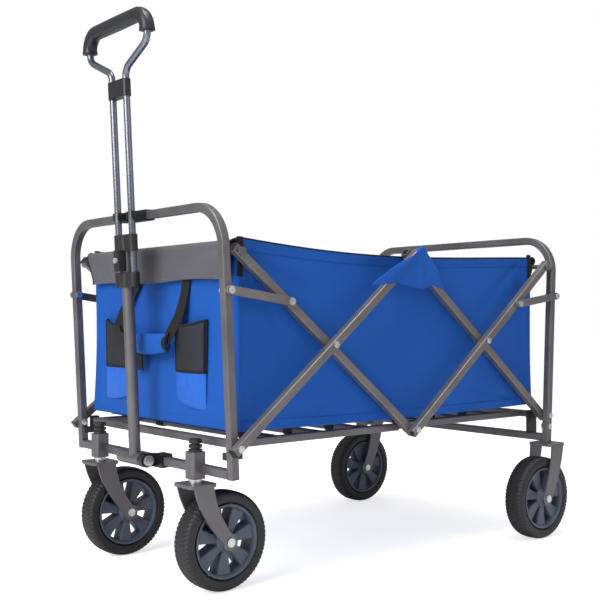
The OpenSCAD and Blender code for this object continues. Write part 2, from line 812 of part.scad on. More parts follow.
// Places children at the far end of such an arc, still going up in their own frame
module after_arc(bend, turn) {
    translate([bend, 0, 0]) rotate([0, turn, 0]) translate([-bend, 0, 0]) children();
}

module straight(r, len, hollow) {
    linear_extrude(len) ring(r, hollow);
}

// Each tube runs from the slide block to the end face of the grip
module handle_tubes() color("slategray") handle_frame() {
    r = slide_d / 2;
    both_sides() translate([slide_gap / 2, 0, slide_block_s + 2]) {
        straight(r, flare_s - slide_block_s - 2, true);
        translate([0, 0, flare_s - slide_block_s - 2]) {
            arc(r, flare_r, flare_turn, true);
            after_arc(flare_r, flare_turn) {
                straight(r, flare_run, true);
                translate([0, 0, flare_run]) mirror([1, 0, 0]) arc(r, flare_r, flare_turn, true);
            }
        }
    }
}

module slide_blocks() color("black") handle_frame() difference() {
    union() {
        translate([0, 0, slide_block_s]) twin_block(slide_d / 2 + 3.5, slide_block_h);
        translate([0, 0, slide_block_s]) cylinder(r = pole_d / 2 + 3.5, h = slide_block_h);
        translate([0, 0, clamp_s]) twin_block(slide_d / 2 + 2, clamp_h);
    }
    translate([0, 0, slide_block_s - 1]) cylinder(r = pole_d / 2 + 0.1, h = slide_block_h + 2);
    both_sides() translate([slide_gap / 2, 0, 0]) {
        translate([0, 0, slide_block_s + 2]) cylinder(r = slide_d / 2, h = slide_block_h);
        translate([0, 0, clamp_s - 1]) cylinder(r = slide_d / 2, h = clamp_h + 2);
    }
}

// The moulded grip: up from the end of each tube, over in a bend and straight across. The
// crossing piece is turned half round so that its seam doesn't meet the seams of the bends.
module grip() color("black") handle_frame() {
    both_sides() translate([grip_x, 0, flare_end]) {
        straight(grip_r, grip_s - grip_bend - flare_end, false);
        translate([0, 0, grip_s - grip_bend - flare_end])
            mirror([1, 0, 0]) arc(grip_r, grip_bend, 90, false);
    }
    translate([0, 0, grip_s]) rotate([0, 90, 0]) rotate([0, 0, 180])
        cylinder(r = grip_r, h = 2 * (grip_x - grip_bend), center = true);
}

front_frame_tube();
front_crossbar();
caster_housings();
rest_caps();
handle_bracket();
handle_clip();
front_pivot_bolts();
front_floor_hinges();
outer_bars_front();
outer_bar_bolts();
outer_bar_caps();
inner_bars_front();
inner_bar_caps();
inner_bars_rear();
inner_bar_bolts();
outer_bars_rear();
bottom_bolts();
rear_frame_tube();
rear_crossbar();
rear_forks();
rear_bolts();
rear_floor_hinges();
front_links();
front_link_rivets();
rear_links();
rear_link_rivets();
front_rod();
front_panel();
front_flap();
cup_pockets();
carry_handle();
side_panels();
centre_flaps();
rear_rod();
rear_panel();
rear_flap();
front_floor_frame();
front_floor_board();

front_floor_ties();
rear_floor_frame();
rear_floor_board();

rear_floor_ties();
caster_fork_left();
caster_fork_right();
caster_axle_left();
caster_axle_right();
tyre_front_left();
tyre_front_right();
tyre_rear_left();
tyre_rear_right();
rim_front_left();
rim_front_right();
rim_rear_left();
rim_rear_right();
handle_pole();
pole_block();
handle_tubes();
slide_blocks();
grip();
latch_button();
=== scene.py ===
# %% [markdown]
# # A folding utility wagon
#
# The steel frame, the scissor bars, the wheels' forks and the handle come from the CAD model.
# They have the right shapes already and only need finishes. This lesson adds those finishes and
# builds everything soft or finely moulded: the fabric basket, its flaps and pockets, the
# webbing, the treaded tyres, the spoked rims and the grip. Everything is in metres, in the
# CAD model's own frame: +Z up, -Y towards the handle, +X across the wagon.

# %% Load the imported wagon
import json
import math

import bpy
import numpy as np
from mathutils import Matrix, Vector


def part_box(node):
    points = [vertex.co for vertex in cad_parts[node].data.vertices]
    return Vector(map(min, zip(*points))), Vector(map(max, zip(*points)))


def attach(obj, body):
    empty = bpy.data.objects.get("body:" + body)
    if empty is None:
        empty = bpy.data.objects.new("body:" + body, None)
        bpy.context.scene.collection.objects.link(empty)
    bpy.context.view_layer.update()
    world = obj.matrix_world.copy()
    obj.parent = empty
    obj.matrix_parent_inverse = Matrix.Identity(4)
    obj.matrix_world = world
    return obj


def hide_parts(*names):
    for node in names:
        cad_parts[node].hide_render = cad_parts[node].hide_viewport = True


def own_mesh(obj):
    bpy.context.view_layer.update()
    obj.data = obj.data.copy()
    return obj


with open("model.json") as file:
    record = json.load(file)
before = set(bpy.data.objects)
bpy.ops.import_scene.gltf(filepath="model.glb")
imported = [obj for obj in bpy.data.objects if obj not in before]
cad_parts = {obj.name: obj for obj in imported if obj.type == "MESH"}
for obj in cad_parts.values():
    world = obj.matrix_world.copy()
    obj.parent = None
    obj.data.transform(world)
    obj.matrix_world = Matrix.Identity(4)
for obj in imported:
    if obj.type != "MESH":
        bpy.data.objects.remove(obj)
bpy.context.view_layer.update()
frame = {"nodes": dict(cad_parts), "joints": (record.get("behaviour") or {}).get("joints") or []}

joint_at = {j["name"]: np.array(j["pos_m"]) for j in frame["joints"] if "pos_m" in j}
MM = 0.001


def span(node):
    """The lowest and highest corners of a CAD node, as numpy arrays."""
    low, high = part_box(node)
    return np.array(low), np.array(high)


# %% [markdown]
# ## The camera
#
# The wagon is seen from its front left corner, from just under half a metre above the ground,
# so the view is almost level and uprights stay upright. A camera can be placed by eye, but
# an azimuth and a tilt say more about where it looks; its place is given apart from them.

# %% Place the camera
AZIMUTH = math.radians(50.0)
TILT_UP = math.radians(0.98)
SENSOR = 36.0
FOCAL = 0.97158 / 0.6 * SENSOR


def look_from(azimuth, tilt_up, place):
    """A camera matrix: its back points along (sin a cos t, -cos a cos t, -sin t)."""
    back = Vector((
        math.sin(azimuth) * math.cos(tilt_up),
        -math.cos(azimuth) * math.cos(tilt_up),
        -math.sin(tilt_up),
    ))
    right = Vector((math.cos(azimuth), math.sin(azimuth), 0))
    turn = Matrix((right, back.cross(right), back)).transposed().to_4x4()
    return Matrix.Translation(place) @ turn


lens = bpy.data.cameras.new("view")
lens.sensor_width = SENSOR
lens.lens = FOCAL
lens.shift_x = -0.0011
lens.shift_y = -0.0027
lens.clip_end = 50
camera = bpy.data.objects.new("view", lens)
camera.matrix_world = look_from(AZIMUTH, TILT_UP, (1.597, -1.3936, 0.4898))
bpy.context.scene.collection.objects.link(camera)
bpy.context.scene.camera = camera
print("focal length", round(FOCAL, 1), "mm")

# %% [markdown]
# ## Meshes from arrays
#
# Most pieces here are a grid of points: a sheet has rows and columns, and a tube or a tyre is a
# grid whose last row or column joins the first. One function makes the faces of any such grid,
# and another puts points and faces into an object. A `uv` in metres lets a weave follow
# the cloth wherever it bends.

# %% Helpers for grids, sweeps and turned shapes
def grid_faces(rows, columns, close_rows=False, close_columns=False):
    """Quads between neighbours (i, j), (i, j+1), (i+1, j+1), (i+1, j) of a grid of points."""
    i, j = np.meshgrid(
        np.arange(rows if close_rows else rows - 1),
        np.arange(columns if close_columns else columns - 1),
        indexing="ij",
    )
    i2 = (i + 1) % rows
    j2 = (j + 1) % columns
    corners = (i * columns + j, i * columns + j2, i2 * columns + j2, i2 * columns + j)
    return np.stack(corners, -1).reshape(-1, 4).tolist()


def new_piece(name, points, faces, material, uv=None, closed=False):
    """An object at the origin made of points and faces. A closed shell is turned to face out."""
    mesh = bpy.data.meshes.new(name)
    mesh.from_pydata(np.asarray(points).reshape(-1, 3).tolist(), [], faces)
    if uv is not None:
        layer = mesh.uv_layers.new(name="cloth")
        corner = np.empty(len(mesh.loops), np.int32)
        mesh.loops.foreach_get("vertex_index", corner)
        layer.data.foreach_set("uv", np.asarray(uv).reshape(-1, 2)[corner].ravel())
    if closed:
        volume = signed_volume(mesh)
        if volume < 0:
            mesh.flip_normals()
    mesh.shade_smooth()
    mesh.materials.append(material)
    piece = bpy.data.objects.new(name, mesh)
    bpy.context.scene.collection.objects.link(piece)
    return piece


def signed_volume(mesh):
    """Sum of a . (b x c) / 6 over the triangles: negative when the faces point inwards."""
    mesh.calc_loop_triangles()
    corner = np.empty(len(mesh.loop_triangles) * 3, np.int32)
    mesh.loop_triangles.foreach_get("vertices", corner)
    place = np.empty(len(mesh.vertices) * 3)
    mesh.vertices.foreach_get("co", place)
    a, b, c = place.reshape(-1, 3)[corner.reshape(-1, 3)].transpose(1, 0, 2)
    return float((a * np.cross(b, c)).sum() / 6)


def unit(v):
    return v / np.maximum(np.linalg.norm(v, axis=-1, keepdims=True), 1e-12)


def sweep(path, side, outline):
    """point = path + outline_a * side + outline_b * (side x tangent), for each path point."""
    tangent = unit(np.gradient(path, axis=0))
    side = unit(side - (side * tangent).sum(-1, keepdims=True) * tangent)
    lift = np.cross(side, tangent)
    outline = np.broadcast_to(outline, (len(path),) + np.shape(outline)[-2:])
    return (
        path[:, None]
        + outline[..., :1] * side[:, None]
        + outline[..., 1:] * lift[:, None]
    )


def capped(points):
    """The faces of a tube of points, with both ends closed."""
    rows, columns = points.shape[:2]
    faces = grid_faces(rows, columns, close_columns=True)
    faces.append(list(range(columns))[::-1])
    faces.append(list(range((rows - 1) * columns, rows * columns)))
    return faces


def swept_piece(name, path, side, outline, material):
    """A closed outline carried along an open path, with both ends capped."""
    points = sweep(path, side, outline)
    return new_piece(name, points, capped(points), material, closed=True)


def turned(profile, steps, centre):
    """A profile of (radius, offset along X) points turned about an X axle through centre."""
    angle = np.linspace(0, 2 * np.pi, steps, endpoint=False)[:, None]
    along = profile[None, :, 1] + 0 * angle
    across = profile[None, :, 0] * np.cos(angle)
    rise = profile[None, :, 0] * np.sin(angle)
    return np.stack([along, across, rise], -1) + centre


def soft_box(half_a, half_b, count, power=4.0):
    """A superellipse: half * sign(cos t) |cos t|^(2/power), and the same with sin."""
    t = np.linspace(0, 2 * np.pi, count, endpoint=False)
    c = np.cos(t)
    s = np.sin(t)
    return np.stack([
        half_a * np.sign(c) * np.abs(c) ** (2 / power),
        half_b * np.sign(s) * np.abs(s) ** (2 / power),
    ], -1)


def joined(name, parts, material):
    """One object from several closed grids of points, each with close flags or caps."""
    points, faces, start = [], [], 0
    for part_points, part_faces in parts:
        flat = np.asarray(part_points).reshape(-1, 3)
        faces += [[v + start for v in face] for face in part_faces]
        points.append(flat)
        start += len(flat)
    return new_piece(name, np.concatenate(points), faces, material, closed=True)


def smooth_step(low, high, x):
    t = np.clip((x - low) / (high - low), 0, 1)
    return t * t * (3 - 2 * t)


# %% [markdown]
# ## Effects shared by several finishes
#
# A finish reads as real when it changes a little over the surface. Three effects are used again
# and again, so each is a node group: a hammered coat, worn edges and a plain weave.
# A group only puts out masks, heights and tones. The shader stays in each material.

# %% Helpers for node trees
def put(tree, kind, inputs=None, **settings):
    """Adds a node, sets its properties, and sets or links its inputs."""
    new = tree.nodes.new(kind)
    for key, value in settings.items():
        setattr(new, key, value)
    for key, value in (inputs or {}).items():
        if isinstance(value, bpy.types.NodeSocket):
            tree.links.new(value, new.inputs[key])
        else:
            new.inputs[key].default_value = value
    return new


def maths(tree, operation, a, b=0.0, c=0.0, clamp=False):
    new = put(tree, "ShaderNodeMath", {0: a, 1: b, 2: c}, operation=operation, use_clamp=clamp)
    return new.outputs[0]


def stretch(tree, value, low, high, to_low=0.0, to_high=1.0):
    """Maps low..high to to_low..to_high, held at both ends."""
    new = put(tree, "ShaderNodeMapRange", {0: value, 1: low, 2: high, 3: to_low, 4: to_high})
    return new.outputs[0]


def new_group(name, inputs, outputs):
    """An empty node group with named sockets; inputs gives each default."""
    group = bpy.data.node_groups.new(name, "ShaderNodeTree")
    for label, default in inputs.items():
        kind = "NodeSocketVector" if default is None else "NodeSocketFloat"
        made = group.interface.new_socket(label, in_out="INPUT", socket_type=kind)
        if default is not None:
            made.default_value = default
    for label in outputs:
        group.interface.new_socket(label, in_out="OUTPUT", socket_type="NodeSocketFloat")
    start = group.nodes.new("NodeGroupInput").outputs
    end = group.nodes.new("NodeGroupOutput").inputs
    return group, start, end


# %% The hammered coat group
coat_group, taken, given = new_group(
    "hammered_coat", {"Vector": None, "Scale": 420.0}, ["Height", "Tone"]
)
cells = put(coat_group, "ShaderNodeTexVoronoi", {
    "Vector": taken["Vector"], "Scale": taken["Scale"],
}, feature="SMOOTH_F1")
blotch = put(coat_group, "ShaderNodeTexNoise", {
    "Vector": taken["Vector"], "Scale": 14.0, "Detail": 4.0,
})
coat_group.links.new(cells.outputs["Distance"], given["Height"])
coat_group.links.new(blotch.outputs["Fac"], given["Tone"])
print("group", coat_group.name)

# %% The worn edge group
wear_group, taken, given = new_group(
    "worn_edges", {"Vector": None, "Reach": 0.0009, "Patches": 35.0}, ["Mask"]
)
rounded = put(wear_group, "ShaderNodeBevel", {"Radius": taken["Reach"]}, samples=4)
flat_normal = put(wear_group, "ShaderNodeNewGeometry")
agree = put(wear_group, "ShaderNodeVectorMath", {
    0: rounded.outputs[0], 1: flat_normal.outputs["Normal"],
}, operation="DOT_PRODUCT")
edge = stretch(wear_group, agree.outputs["Value"], 0.985, 0.86)
patches = put(wear_group, "ShaderNodeTexNoise", {
    "Vector": taken["Vector"], "Scale": taken["Patches"], "Detail": 6.0,
})
patchy = stretch(wear_group, patches.outputs["Fac"], 0.42, 0.66)
wear_group.links.new(maths(wear_group, "MULTIPLY", edge, patchy), given["Mask"])
print("group", wear_group.name)

# %% The weave group
weave_group, taken, given = new_group(
    "plain_weave", {"Vector": None, "Pitch": 0.0011}, ["Height", "Tone", "Slub"]
)
parts = put(weave_group, "ShaderNodeSeparateXYZ", {0: taken["Vector"]})
turn_u = maths(weave_group, "MULTIPLY", maths(
    weave_group, "DIVIDE", parts.outputs[0], taken["Pitch"]), math.pi)
turn_v = maths(weave_group, "MULTIPLY", maths(
    weave_group, "DIVIDE", parts.outputs[1], taken["Pitch"]), math.pi)
warp = maths(weave_group, "SINE", turn_u)
weft = maths(weave_group, "SINE", turn_v)
over = maths(weave_group, "MULTIPLY", warp, weft)
height = maths(weave_group, "ADD", maths(weave_group, "ABSOLUTE", warp), over)
slub = put(weave_group, "ShaderNodeTexNoise", {
    "Vector": taken["Vector"], "Scale": 260.0, "Detail": 3.0,
})
fade = put(weave_group, "ShaderNodeTexNoise", {
    "Vector": taken["Vector"], "Scale": 7.0, "Detail": 5.0,
})
weave_group.links.new(height, given["Height"])
weave_group.links.new(fade.outputs["Fac"], given["Tone"])
weave_group.links.new(slub.outputs["Fac"], given["Slub"])
print("group", weave_group.name)

# %% [markdown]
# ## The finishes
#
# Three kinds of surface make up the wagon. The coated metals share one recipe: a dark satin
# paint with a hammered texture, a little metal showing where edges rub. The plastics are almost
# black with a fine grain. The cloths carry a weave, soft fading and a sheen at grazing angles.

# %% Coated and bare metal
def surface(name):
    """A material with an empty node tree, its Principled shader and its Object coordinates."""
    made = bpy.data.materials.new(name)
    made.use_nodes = True
    tree = made.node_tree
    shader = tree.nodes["Principled BSDF"]
    place = put(tree, "ShaderNodeTexCoord")
    return made, tree, shader, place


def use_group(tree, group, **inputs):
    return put(tree, "ShaderNodeGroup", {"Vector": inputs.pop("Vector"), **inputs}, node_tree=group)


def blend_colour(tree, mask, a, b):
    """A colour that goes from a to b with the mask."""
    new = put(tree, "ShaderNodeMix", {0: mask}, data_type="RGBA")
    for index, value in ((6, a), (7, b)):
        if isinstance(value, bpy.types.NodeSocket):
            tree.links.new(value, new.inputs[index])
        else:
            new.inputs[index].default_value = (*value, 1)
    return new.outputs[2]


def coated_metal(name, dark, light, bare, roughness=0.36, metallic=0.7):
    made, tree, shader, place = surface(name)
    coords = place.outputs["Object"]
    coat = use_group(tree, coat_group, Vector=coords, Scale=430.0)
    wear = use_group(tree, wear_group, Vector=coords, Reach=0.0008)
    tone = stretch(tree, coat.outputs["Tone"], 0.3, 0.7)
    paint = blend_colour(tree, tone, dark, light)
    worn = maths(tree, "MULTIPLY", wear.outputs["Mask"], 0.45)
    tree.links.new(blend_colour(tree, worn, paint, bare), shader.inputs["Base Color"])
    rough = stretch(tree, coat.outputs["Tone"], 0.3, 0.7, roughness - 0.05, roughness + 0.07)
    tree.links.new(rough, shader.inputs["Roughness"])
    shader.inputs["Metallic"].default_value = metallic
    soft_edge = put(tree, "ShaderNodeBevel", {"Radius": 0.0009}, samples=4)
    bump = put(tree, "ShaderNodeBump", {
        "Strength": 0.10, "Distance": 0.0006, "Height": coat.outputs["Height"],
        "Normal": soft_edge.outputs[0],
    })
    tree.links.new(bump.outputs[0], shader.inputs["Normal"])
    return made


frame_coat = coated_metal(
    "frame coat", (0.125, 0.118, 0.128), (0.165, 0.156, 0.168), (0.45, 0.44, 0.43), 0.38, 0.55)
bar_coat = coated_metal(
    "bar coat", (0.15, 0.136, 0.135), (0.20, 0.182, 0.18), (0.6, 0.58, 0.56), 0.36, 0.5)
handle_coat = coated_metal(
    "handle coat", (0.17, 0.185, 0.225), (0.22, 0.235, 0.28), (0.6, 0.6, 0.62), 0.26, 0.85)


def bare_steel():
    """Zinc-plated steel: bright, with fine scratches that change its roughness."""
    made, tree, shader, place = surface("plated steel")
    scratch = put(tree, "ShaderNodeTexNoise", {
        "Vector": place.outputs["Object"], "Scale": 300.0, "Detail": 6.0, "Distortion": 1.5,
    })
    tone = blend_colour(tree, scratch.outputs["Fac"], (0.52, 0.52, 0.53), (0.78, 0.78, 0.77))
    tree.links.new(tone, shader.inputs["Base Color"])
    rough = stretch(tree, scratch.outputs["Fac"], 0.3, 0.7, 0.18, 0.36)
    tree.links.new(rough, shader.inputs["Roughness"])
    shader.inputs["Metallic"].default_value = 1.0
    soft_edge = put(tree, "ShaderNodeBevel", {"Radius": 0.0007}, samples=4)
    bump = put(tree, "ShaderNodeBump", {
        "Strength": 0.08, "Distance": 0.0003, "Height": scratch.outputs["Fac"],
        "Normal": soft_edge.outputs[0],
    })
    tree.links.new(bump.outputs[0], shader.inputs["Normal"])
    return made


steel = bare_steel()
print("metals", [m.name for m in (frame_coat, bar_coat, handle_coat, steel)])


# %% Moulded plastic and rubber
def moulded(name, dark, light, roughness, grain=900.0, depth=0.12, rounding=0.0008):
    made, tree, shader, place = surface(name)
    coords = place.outputs["Object"]
    pores = put(tree, "ShaderNodeTexNoise", {"Vector": coords, "Scale": grain, "Detail": 2.0})
    blotch = put(tree, "ShaderNodeTexNoise", {"Vector": coords, "Scale": 22.0, "Detail": 5.0})
    wear = use_group(tree, wear_group, Vector=coords, Reach=0.0007, Patches=60.0)
    tone = maths(tree, "ADD", stretch(tree, blotch.outputs["Fac"], 0.3, 0.7, 0.0, 0.7),
                 maths(tree, "MULTIPLY", wear.outputs["Mask"], 0.4), clamp=True)
    tree.links.new(blend_colour(tree, tone, dark, light), shader.inputs["Base Color"])
    rough = stretch(tree, blotch.outputs["Fac"], 0.3, 0.7, roughness - 0.05, roughness + 0.07)
    tree.links.new(rough, shader.inputs["Roughness"])
    soft_edge = put(tree, "ShaderNodeBevel", {"Radius": rounding}, samples=4)
    bump = put(tree, "ShaderNodeBump", {
        "Strength": depth, "Distance": 0.0004, "Height": pores.outputs["Fac"],
        "Normal": soft_edge.outputs[0],
    })
    tree.links.new(bump.outputs[0], shader.inputs["Normal"])
    return made


black_plastic = moulded("black plastic", (0.007, 0.007, 0.008), (0.017, 0.017, 0.02), 0.38)
grip_plastic = moulded(
    "grip plastic", (0.008, 0.009, 0.012), (0.018, 0.019, 0.025), 0.36, 1400.0, 0.2)
button_plastic = moulded("button plastic", (0.3, 0.3, 0.31), (0.42, 0.42, 0.43), 0.3)
rim_plastic = moulded("rim plastic", (0.05, 0.068, 0.098), (0.082, 0.105, 0.145), 0.4, 700.0, 0.1)
rubber = moulded("tyre rubber", (0.007, 0.007, 0.009), (0.016, 0.016, 0.018), 0.5, 1600.0, 0.25)
print("moulded", [m.name for m in (black_plastic, grip_plastic, rim_plastic, rubber)])


# %% Cloth, mesh and webbing
def cloth(name, dark, light, pitch=0.0011, roughness=0.7, sheen=0.03, depth=0.3):
    """Woven polyester: thread bump, slubs and faint fading."""
    made, tree, shader, place = surface(name)
    weave = use_group(tree, weave_group, Vector=place.outputs["UV"], Pitch=pitch)
    tone = maths(tree, "ADD", stretch(tree, weave.outputs["Tone"], 0.25, 0.75, 0.0, 0.75),
                 stretch(tree, weave.outputs["Slub"], 0.3, 0.7, -0.12, 0.25), clamp=True)
    tree.links.new(blend_colour(tree, tone, dark, light), shader.inputs["Base Color"])
    rough = stretch(tree, weave.outputs["Slub"], 0.3, 0.7, roughness - 0.06, roughness + 0.08)
    tree.links.new(rough, shader.inputs["Roughness"])
    shader.inputs["Sheen Weight"].default_value = sheen
    shader.inputs["Sheen Roughness"].default_value = 0.45
    shader.inputs["Specular IOR Level"].default_value = 0.28
    bump = put(tree, "ShaderNodeBump", {
        "Strength": depth, "Distance": 0.0002, "Height": weave.outputs["Height"],
    })
    tree.links.new(bump.outputs[0], shader.inputs["Normal"])
    return made


blue_cloth = cloth("blue cloth", (0.002, 0.072, 0.36), (0.004, 0.092, 0.43))
# The pouch cloth is the blue cloth made lighter, with a finer, smoother weave. Its lighter blue is
# partly the pouch's own colour and partly painted highlight for the light on its bulging folds.
pouch_cloth_with_painted_highlight = cloth("pouch cloth with painted highlight", (0.008, 0.105, 0.50), (0.016, 0.135, 0.60), 0.0008, 0.5)
grey_cloth = cloth("grey cloth", (0.082, 0.081, 0.094), (0.112, 0.11, 0.126))
webbing = cloth(
    "black webbing", (0.005, 0.005, 0.006), (0.013, 0.013, 0.015), 0.0026, 0.75, 0.05, 0.8)
binding = cloth("black binding", (0.004, 0.004, 0.005), (0.011, 0.011, 0.013), 0.0015, 0.75)
blue_thread = cloth("blue thread", (0.006, 0.09, 0.42), (0.012, 0.14, 0.6), 0.0004)
grey_thread = cloth("grey thread", (0.16, 0.16, 0.18), (0.24, 0.24, 0.26), 0.0004)
print("cloths", [m.name for m in (blue_cloth, pouch_cloth_with_painted_highlight, grey_cloth, webbing)])


def open_mesh():
    """Knitted mesh: black yarn with round holes, by Alpha from a honeycomb of distances."""
    made, tree, shader, place = surface("pocket mesh")
    parts = put(tree, "ShaderNodeSeparateXYZ", {0: place.outputs["UV"]})
    waves = []
    for turn in (0, 60, 120):
        a, b = math.cos(math.radians(turn)), math.sin(math.radians(turn))
        across = maths(tree, "ADD", maths(tree, "MULTIPLY", parts.outputs[0], a),
                       maths(tree, "MULTIPLY", parts.outputs[1], b))
        waves.append(maths(tree, "COSINE", maths(tree, "MULTIPLY", across, 2 * math.pi / 0.0026)))
    total = maths(tree, "ADD", maths(tree, "ADD", waves[0], waves[1]), waves[2])
    yarn = stretch(tree, total, 1.35, 0.95)
    tree.links.new(yarn, shader.inputs["Alpha"])
    blotch = put(tree, "ShaderNodeTexNoise", {"Vector": place.outputs["UV"], "Scale": 60.0})
    tone = blend_colour(tree, blotch.outputs["Fac"], (0.008, 0.009, 0.014), (0.02, 0.022, 0.03))
    tree.links.new(tone, shader.inputs["Base Color"])
    rough = stretch(tree, blotch.outputs["Fac"], 0.3, 0.7, 0.5, 0.7)
    tree.links.new(rough, shader.inputs["Roughness"])
    bump = put(tree, "ShaderNodeBump", {"Strength": 0.5, "Distance": 0.0003, "Height": total})
    tree.links.new(bump.outputs[0], shader.inputs["Normal"])
    return made


pocket_mesh = open_mesh()

# %% [markdown]
# ## Finishing the CAD parts
#
# Frames, bars, bolts, forks and housings keep their CAD shape. Only their material slots change.

# %% Give every CAD node its finish
FINISH = {
    frame_coat: ["front_frame_tube", "front_crossbar", "caster_housings", "rear_frame_tube",
                 "rear_crossbar", "front_floor_frame", "rear_floor_frame", "front_rod", "rear_rod",
                 "handle_pole", "caster_fork_left", "caster_fork_right", "rear_forks"],
    bar_coat: ["outer_bars_front", "inner_bars_front", "inner_bars_rear", "outer_bars_rear",
               "front_links", "rear_links"],
    handle_coat: ["handle_tubes"],
    steel: ["front_pivot_bolts", "outer_bar_bolts", "inner_bar_bolts", "bottom_bolts",
            "rear_bolts", "front_link_rivets", "rear_link_rivets",
            "caster_axle_left", "caster_axle_right"],
    black_plastic: ["rest_caps", "handle_bracket", "handle_clip", "front_floor_hinges",
                    "rear_floor_hinges", "outer_bar_caps", "inner_bar_caps", "pole_block",
                    "slide_blocks"],
    button_plastic: ["latch_button"],
}
for finish, names in FINISH.items():
    for name in names:
        frame["nodes"][name].data.materials.clear()
        frame["nodes"][name].data.materials.append(finish)
print("finished", sum(len(n) for n in FINISH.values()), "CAD nodes")

# %% [markdown]
# ## Tyres
#
# A tyre is one profile turned about the axle. The profile is a superellipse, nearly square with
# soft shoulders. Tread could be a bump map, but then the outline stays round, so the groove
# depth is taken off the radius of the real mesh, as a function of the place across the tread
# and the angle round it: two zigzag grooves, and lugs cut across each shoulder.

# %% Build the four tyres
TREAD_LUGS = 66
GROOVE = 1.5 * MM


def tyre_points(centre, half_width, bead, radius, around=660, across=60):
    """r = middle + half_height * superellipse sine - groove(x, angle); x = half_width * cosine."""
    section = soft_box(half_width, (radius - bead) / 2, across, 3.4)
    x = np.broadcast_to(section[:, 0], (around, across))
    r = np.broadcast_to((radius + bead) / 2 + section[:, 1], (around, across)).copy()
    angle = np.linspace(0, 2 * np.pi, around, endpoint=False)[:, None]
    turns = angle * TREAD_LUGS / (2 * np.pi)
    zigzag = (0.28 + 0.07 * np.sign(x) * (2 * np.abs(2 * (turns % 1) - 1) - 1)) * half_width
    ring = 1 - smooth_step(0.7 * MM, 1.9 * MM, np.abs(np.abs(x) - zigzag))
    shift = turns + np.where(x > 0, 0.0, 0.5) + 9 * np.abs(x)
    cut = 1 - smooth_step(0.10, 0.22, np.abs(shift % 1 - 0.5))
    shoulder = smooth_step(0.3, 0.42, np.abs(x) / half_width)
    sipe = (1 - smooth_step(0.05, 0.13, np.abs((2 * turns + 40 * x) % 1 - 0.5))) * (1 - shoulder)
    on_tread = smooth_step(0.35, 0.75, (r - bead) / (radius - bead))
    depth = np.maximum.reduce([ring, cut * shoulder, 0.6 * sipe]) * on_tread
    r -= GROOVE * depth
    wall = np.sign(x) * (
        0.5 * MM * np.exp(-(((r - bead) - 5 * MM) / (0.9 * MM)) ** 2)
        - 0.5 * MM * np.exp(-(((r - bead) - 9.5 * MM) / (1.1 * MM)) ** 2)
    ) * (1 - on_tread)
    return np.stack([x + wall, r * np.cos(angle), r * np.sin(angle)], -1) + centre


CORNERS = ["front_left", "front_right", "rear_left", "rear_right"]
for corner in CORNERS:
    low, high = span("tyre_" + corner)
    rim_low, rim_high = span("rim_" + corner)
    middle = (low + high) / 2
    radius = (high[2] - low[2]) / 2
    bead = (rim_high[2] - rim_low[2]) / 2
    half_width = (high[0] - low[0]) / 2
    points = tyre_points(middle, half_width, bead, radius)
    faces = grid_faces(*points.shape[:2], close_rows=True, close_columns=True)
    tyre = new_piece("treaded_tyre_" + corner, points, faces, rubber, closed=True)
    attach(tyre, "wheel_" + corner)
    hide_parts("tyre_" + corner)
print("tyre faces", len(faces))

# %% [markdown]
# ## Rims
#
# Each rim is a moulding: an outer ring with a raised lip, a stepped hub, and seven deep spokes
# that widen outwards. The ring and hub are turned profiles. A spoke is a box-like section
# carried outwards along a radius, and it runs into both.

# %% Build the four rims
SPOKES = 7


def ring_profile(outer, half_width):
    """The rim ring's section: lips at both edges and a wall that thins to the middle."""
    lip = half_width + 2 * MM
    right = [
        (outer - 7.0 * MM, 0.0), (outer - 7.0 * MM, 0.45 * lip), (outer - 5.4 * MM, 0.82 * lip),
        (outer - 3.2 * MM, 0.97 * lip), (outer - 0.6 * MM, lip), (outer + 0.9 * MM, 0.98 * lip),
        (outer + 1.1 * MM, 0.9 * lip), (outer - 0.5 * MM, 0.8 * lip), (outer - 0.5 * MM, 0.0),
    ]
    left = [(r, -x) for r, x in right[-2:0:-1]]
    return np.array(right + left)


def hub_profile(bore, outer, half_width):
    """The hub's section: a boss, a step down and the bore it turns on."""
    right = [
        (bore, half_width), (outer * 0.62, half_width), (outer * 0.68, half_width - 1.2 * MM),
        (outer * 0.72, half_width - 5 * MM), (outer * 0.95, half_width - 6.5 * MM),
        (outer * 1.02, half_width - 8.5 * MM), (outer * 1.03, 0.0),
    ]
    left = [(r, -x) for r, x in right[-2::-1]]
    return np.array(right + left)


def spoke_points(turn, hub, outer, half_width):
    """Wedges from hub to ring: half breadth 6.5 to 15.5 mm, flat sides and a sunken face."""
    t = np.linspace(0, 1, 14)
    reach = hub * 0.8 + t * (outer - 5 * MM - hub * 0.8)
    breadth = 6.5 * MM + 9 * MM * t
    depth = half_width * (0.9 - 0.1 * np.sin(np.pi * t))
    outline = np.stack([soft_box(d, b, 32, 6.0) for d, b in zip(depth, breadth)])
    cup = 1 - 0.10 * (1 - (outline[..., 1] / breadth[:, None]) ** 2)
    along = outline[..., 0] * cup
    ahead = reach[:, None] + 0 * along
    sideways = outline[..., 1]
    c, s = math.cos(turn), math.sin(turn)
    return np.stack([along, ahead * c - sideways * s, ahead * s + sideways * c], -1)


for corner in CORNERS:
    low, high = span("rim_" + corner)
    middle = (low + high) / 2
    outer = (high[2] - low[2]) / 2
    hub_half = (high[0] - low[0]) / 2
    half_width = hub_half - 5 * MM
    ring = turned(ring_profile(outer, half_width), 120, middle)
    hub = turned(hub_profile(5.1 * MM, 20 * MM, hub_half), 72, middle)
    parts = [
        (p, grid_faces(*p.shape[:2], close_rows=True, close_columns=True)) for p in (ring, hub)
    ]
    for k in range(SPOKES):
        p = spoke_points(2 * math.pi * (k + 0.2) / SPOKES, 20 * MM, outer, half_width)
        parts.append((p[:, ::-1] + middle, capped(p)))
    rim = joined("spoked_rim_" + corner, parts, rim_plastic)
    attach(rim, "wheel_" + corner)
    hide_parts("rim_" + corner)
print("rim pieces", len(parts))

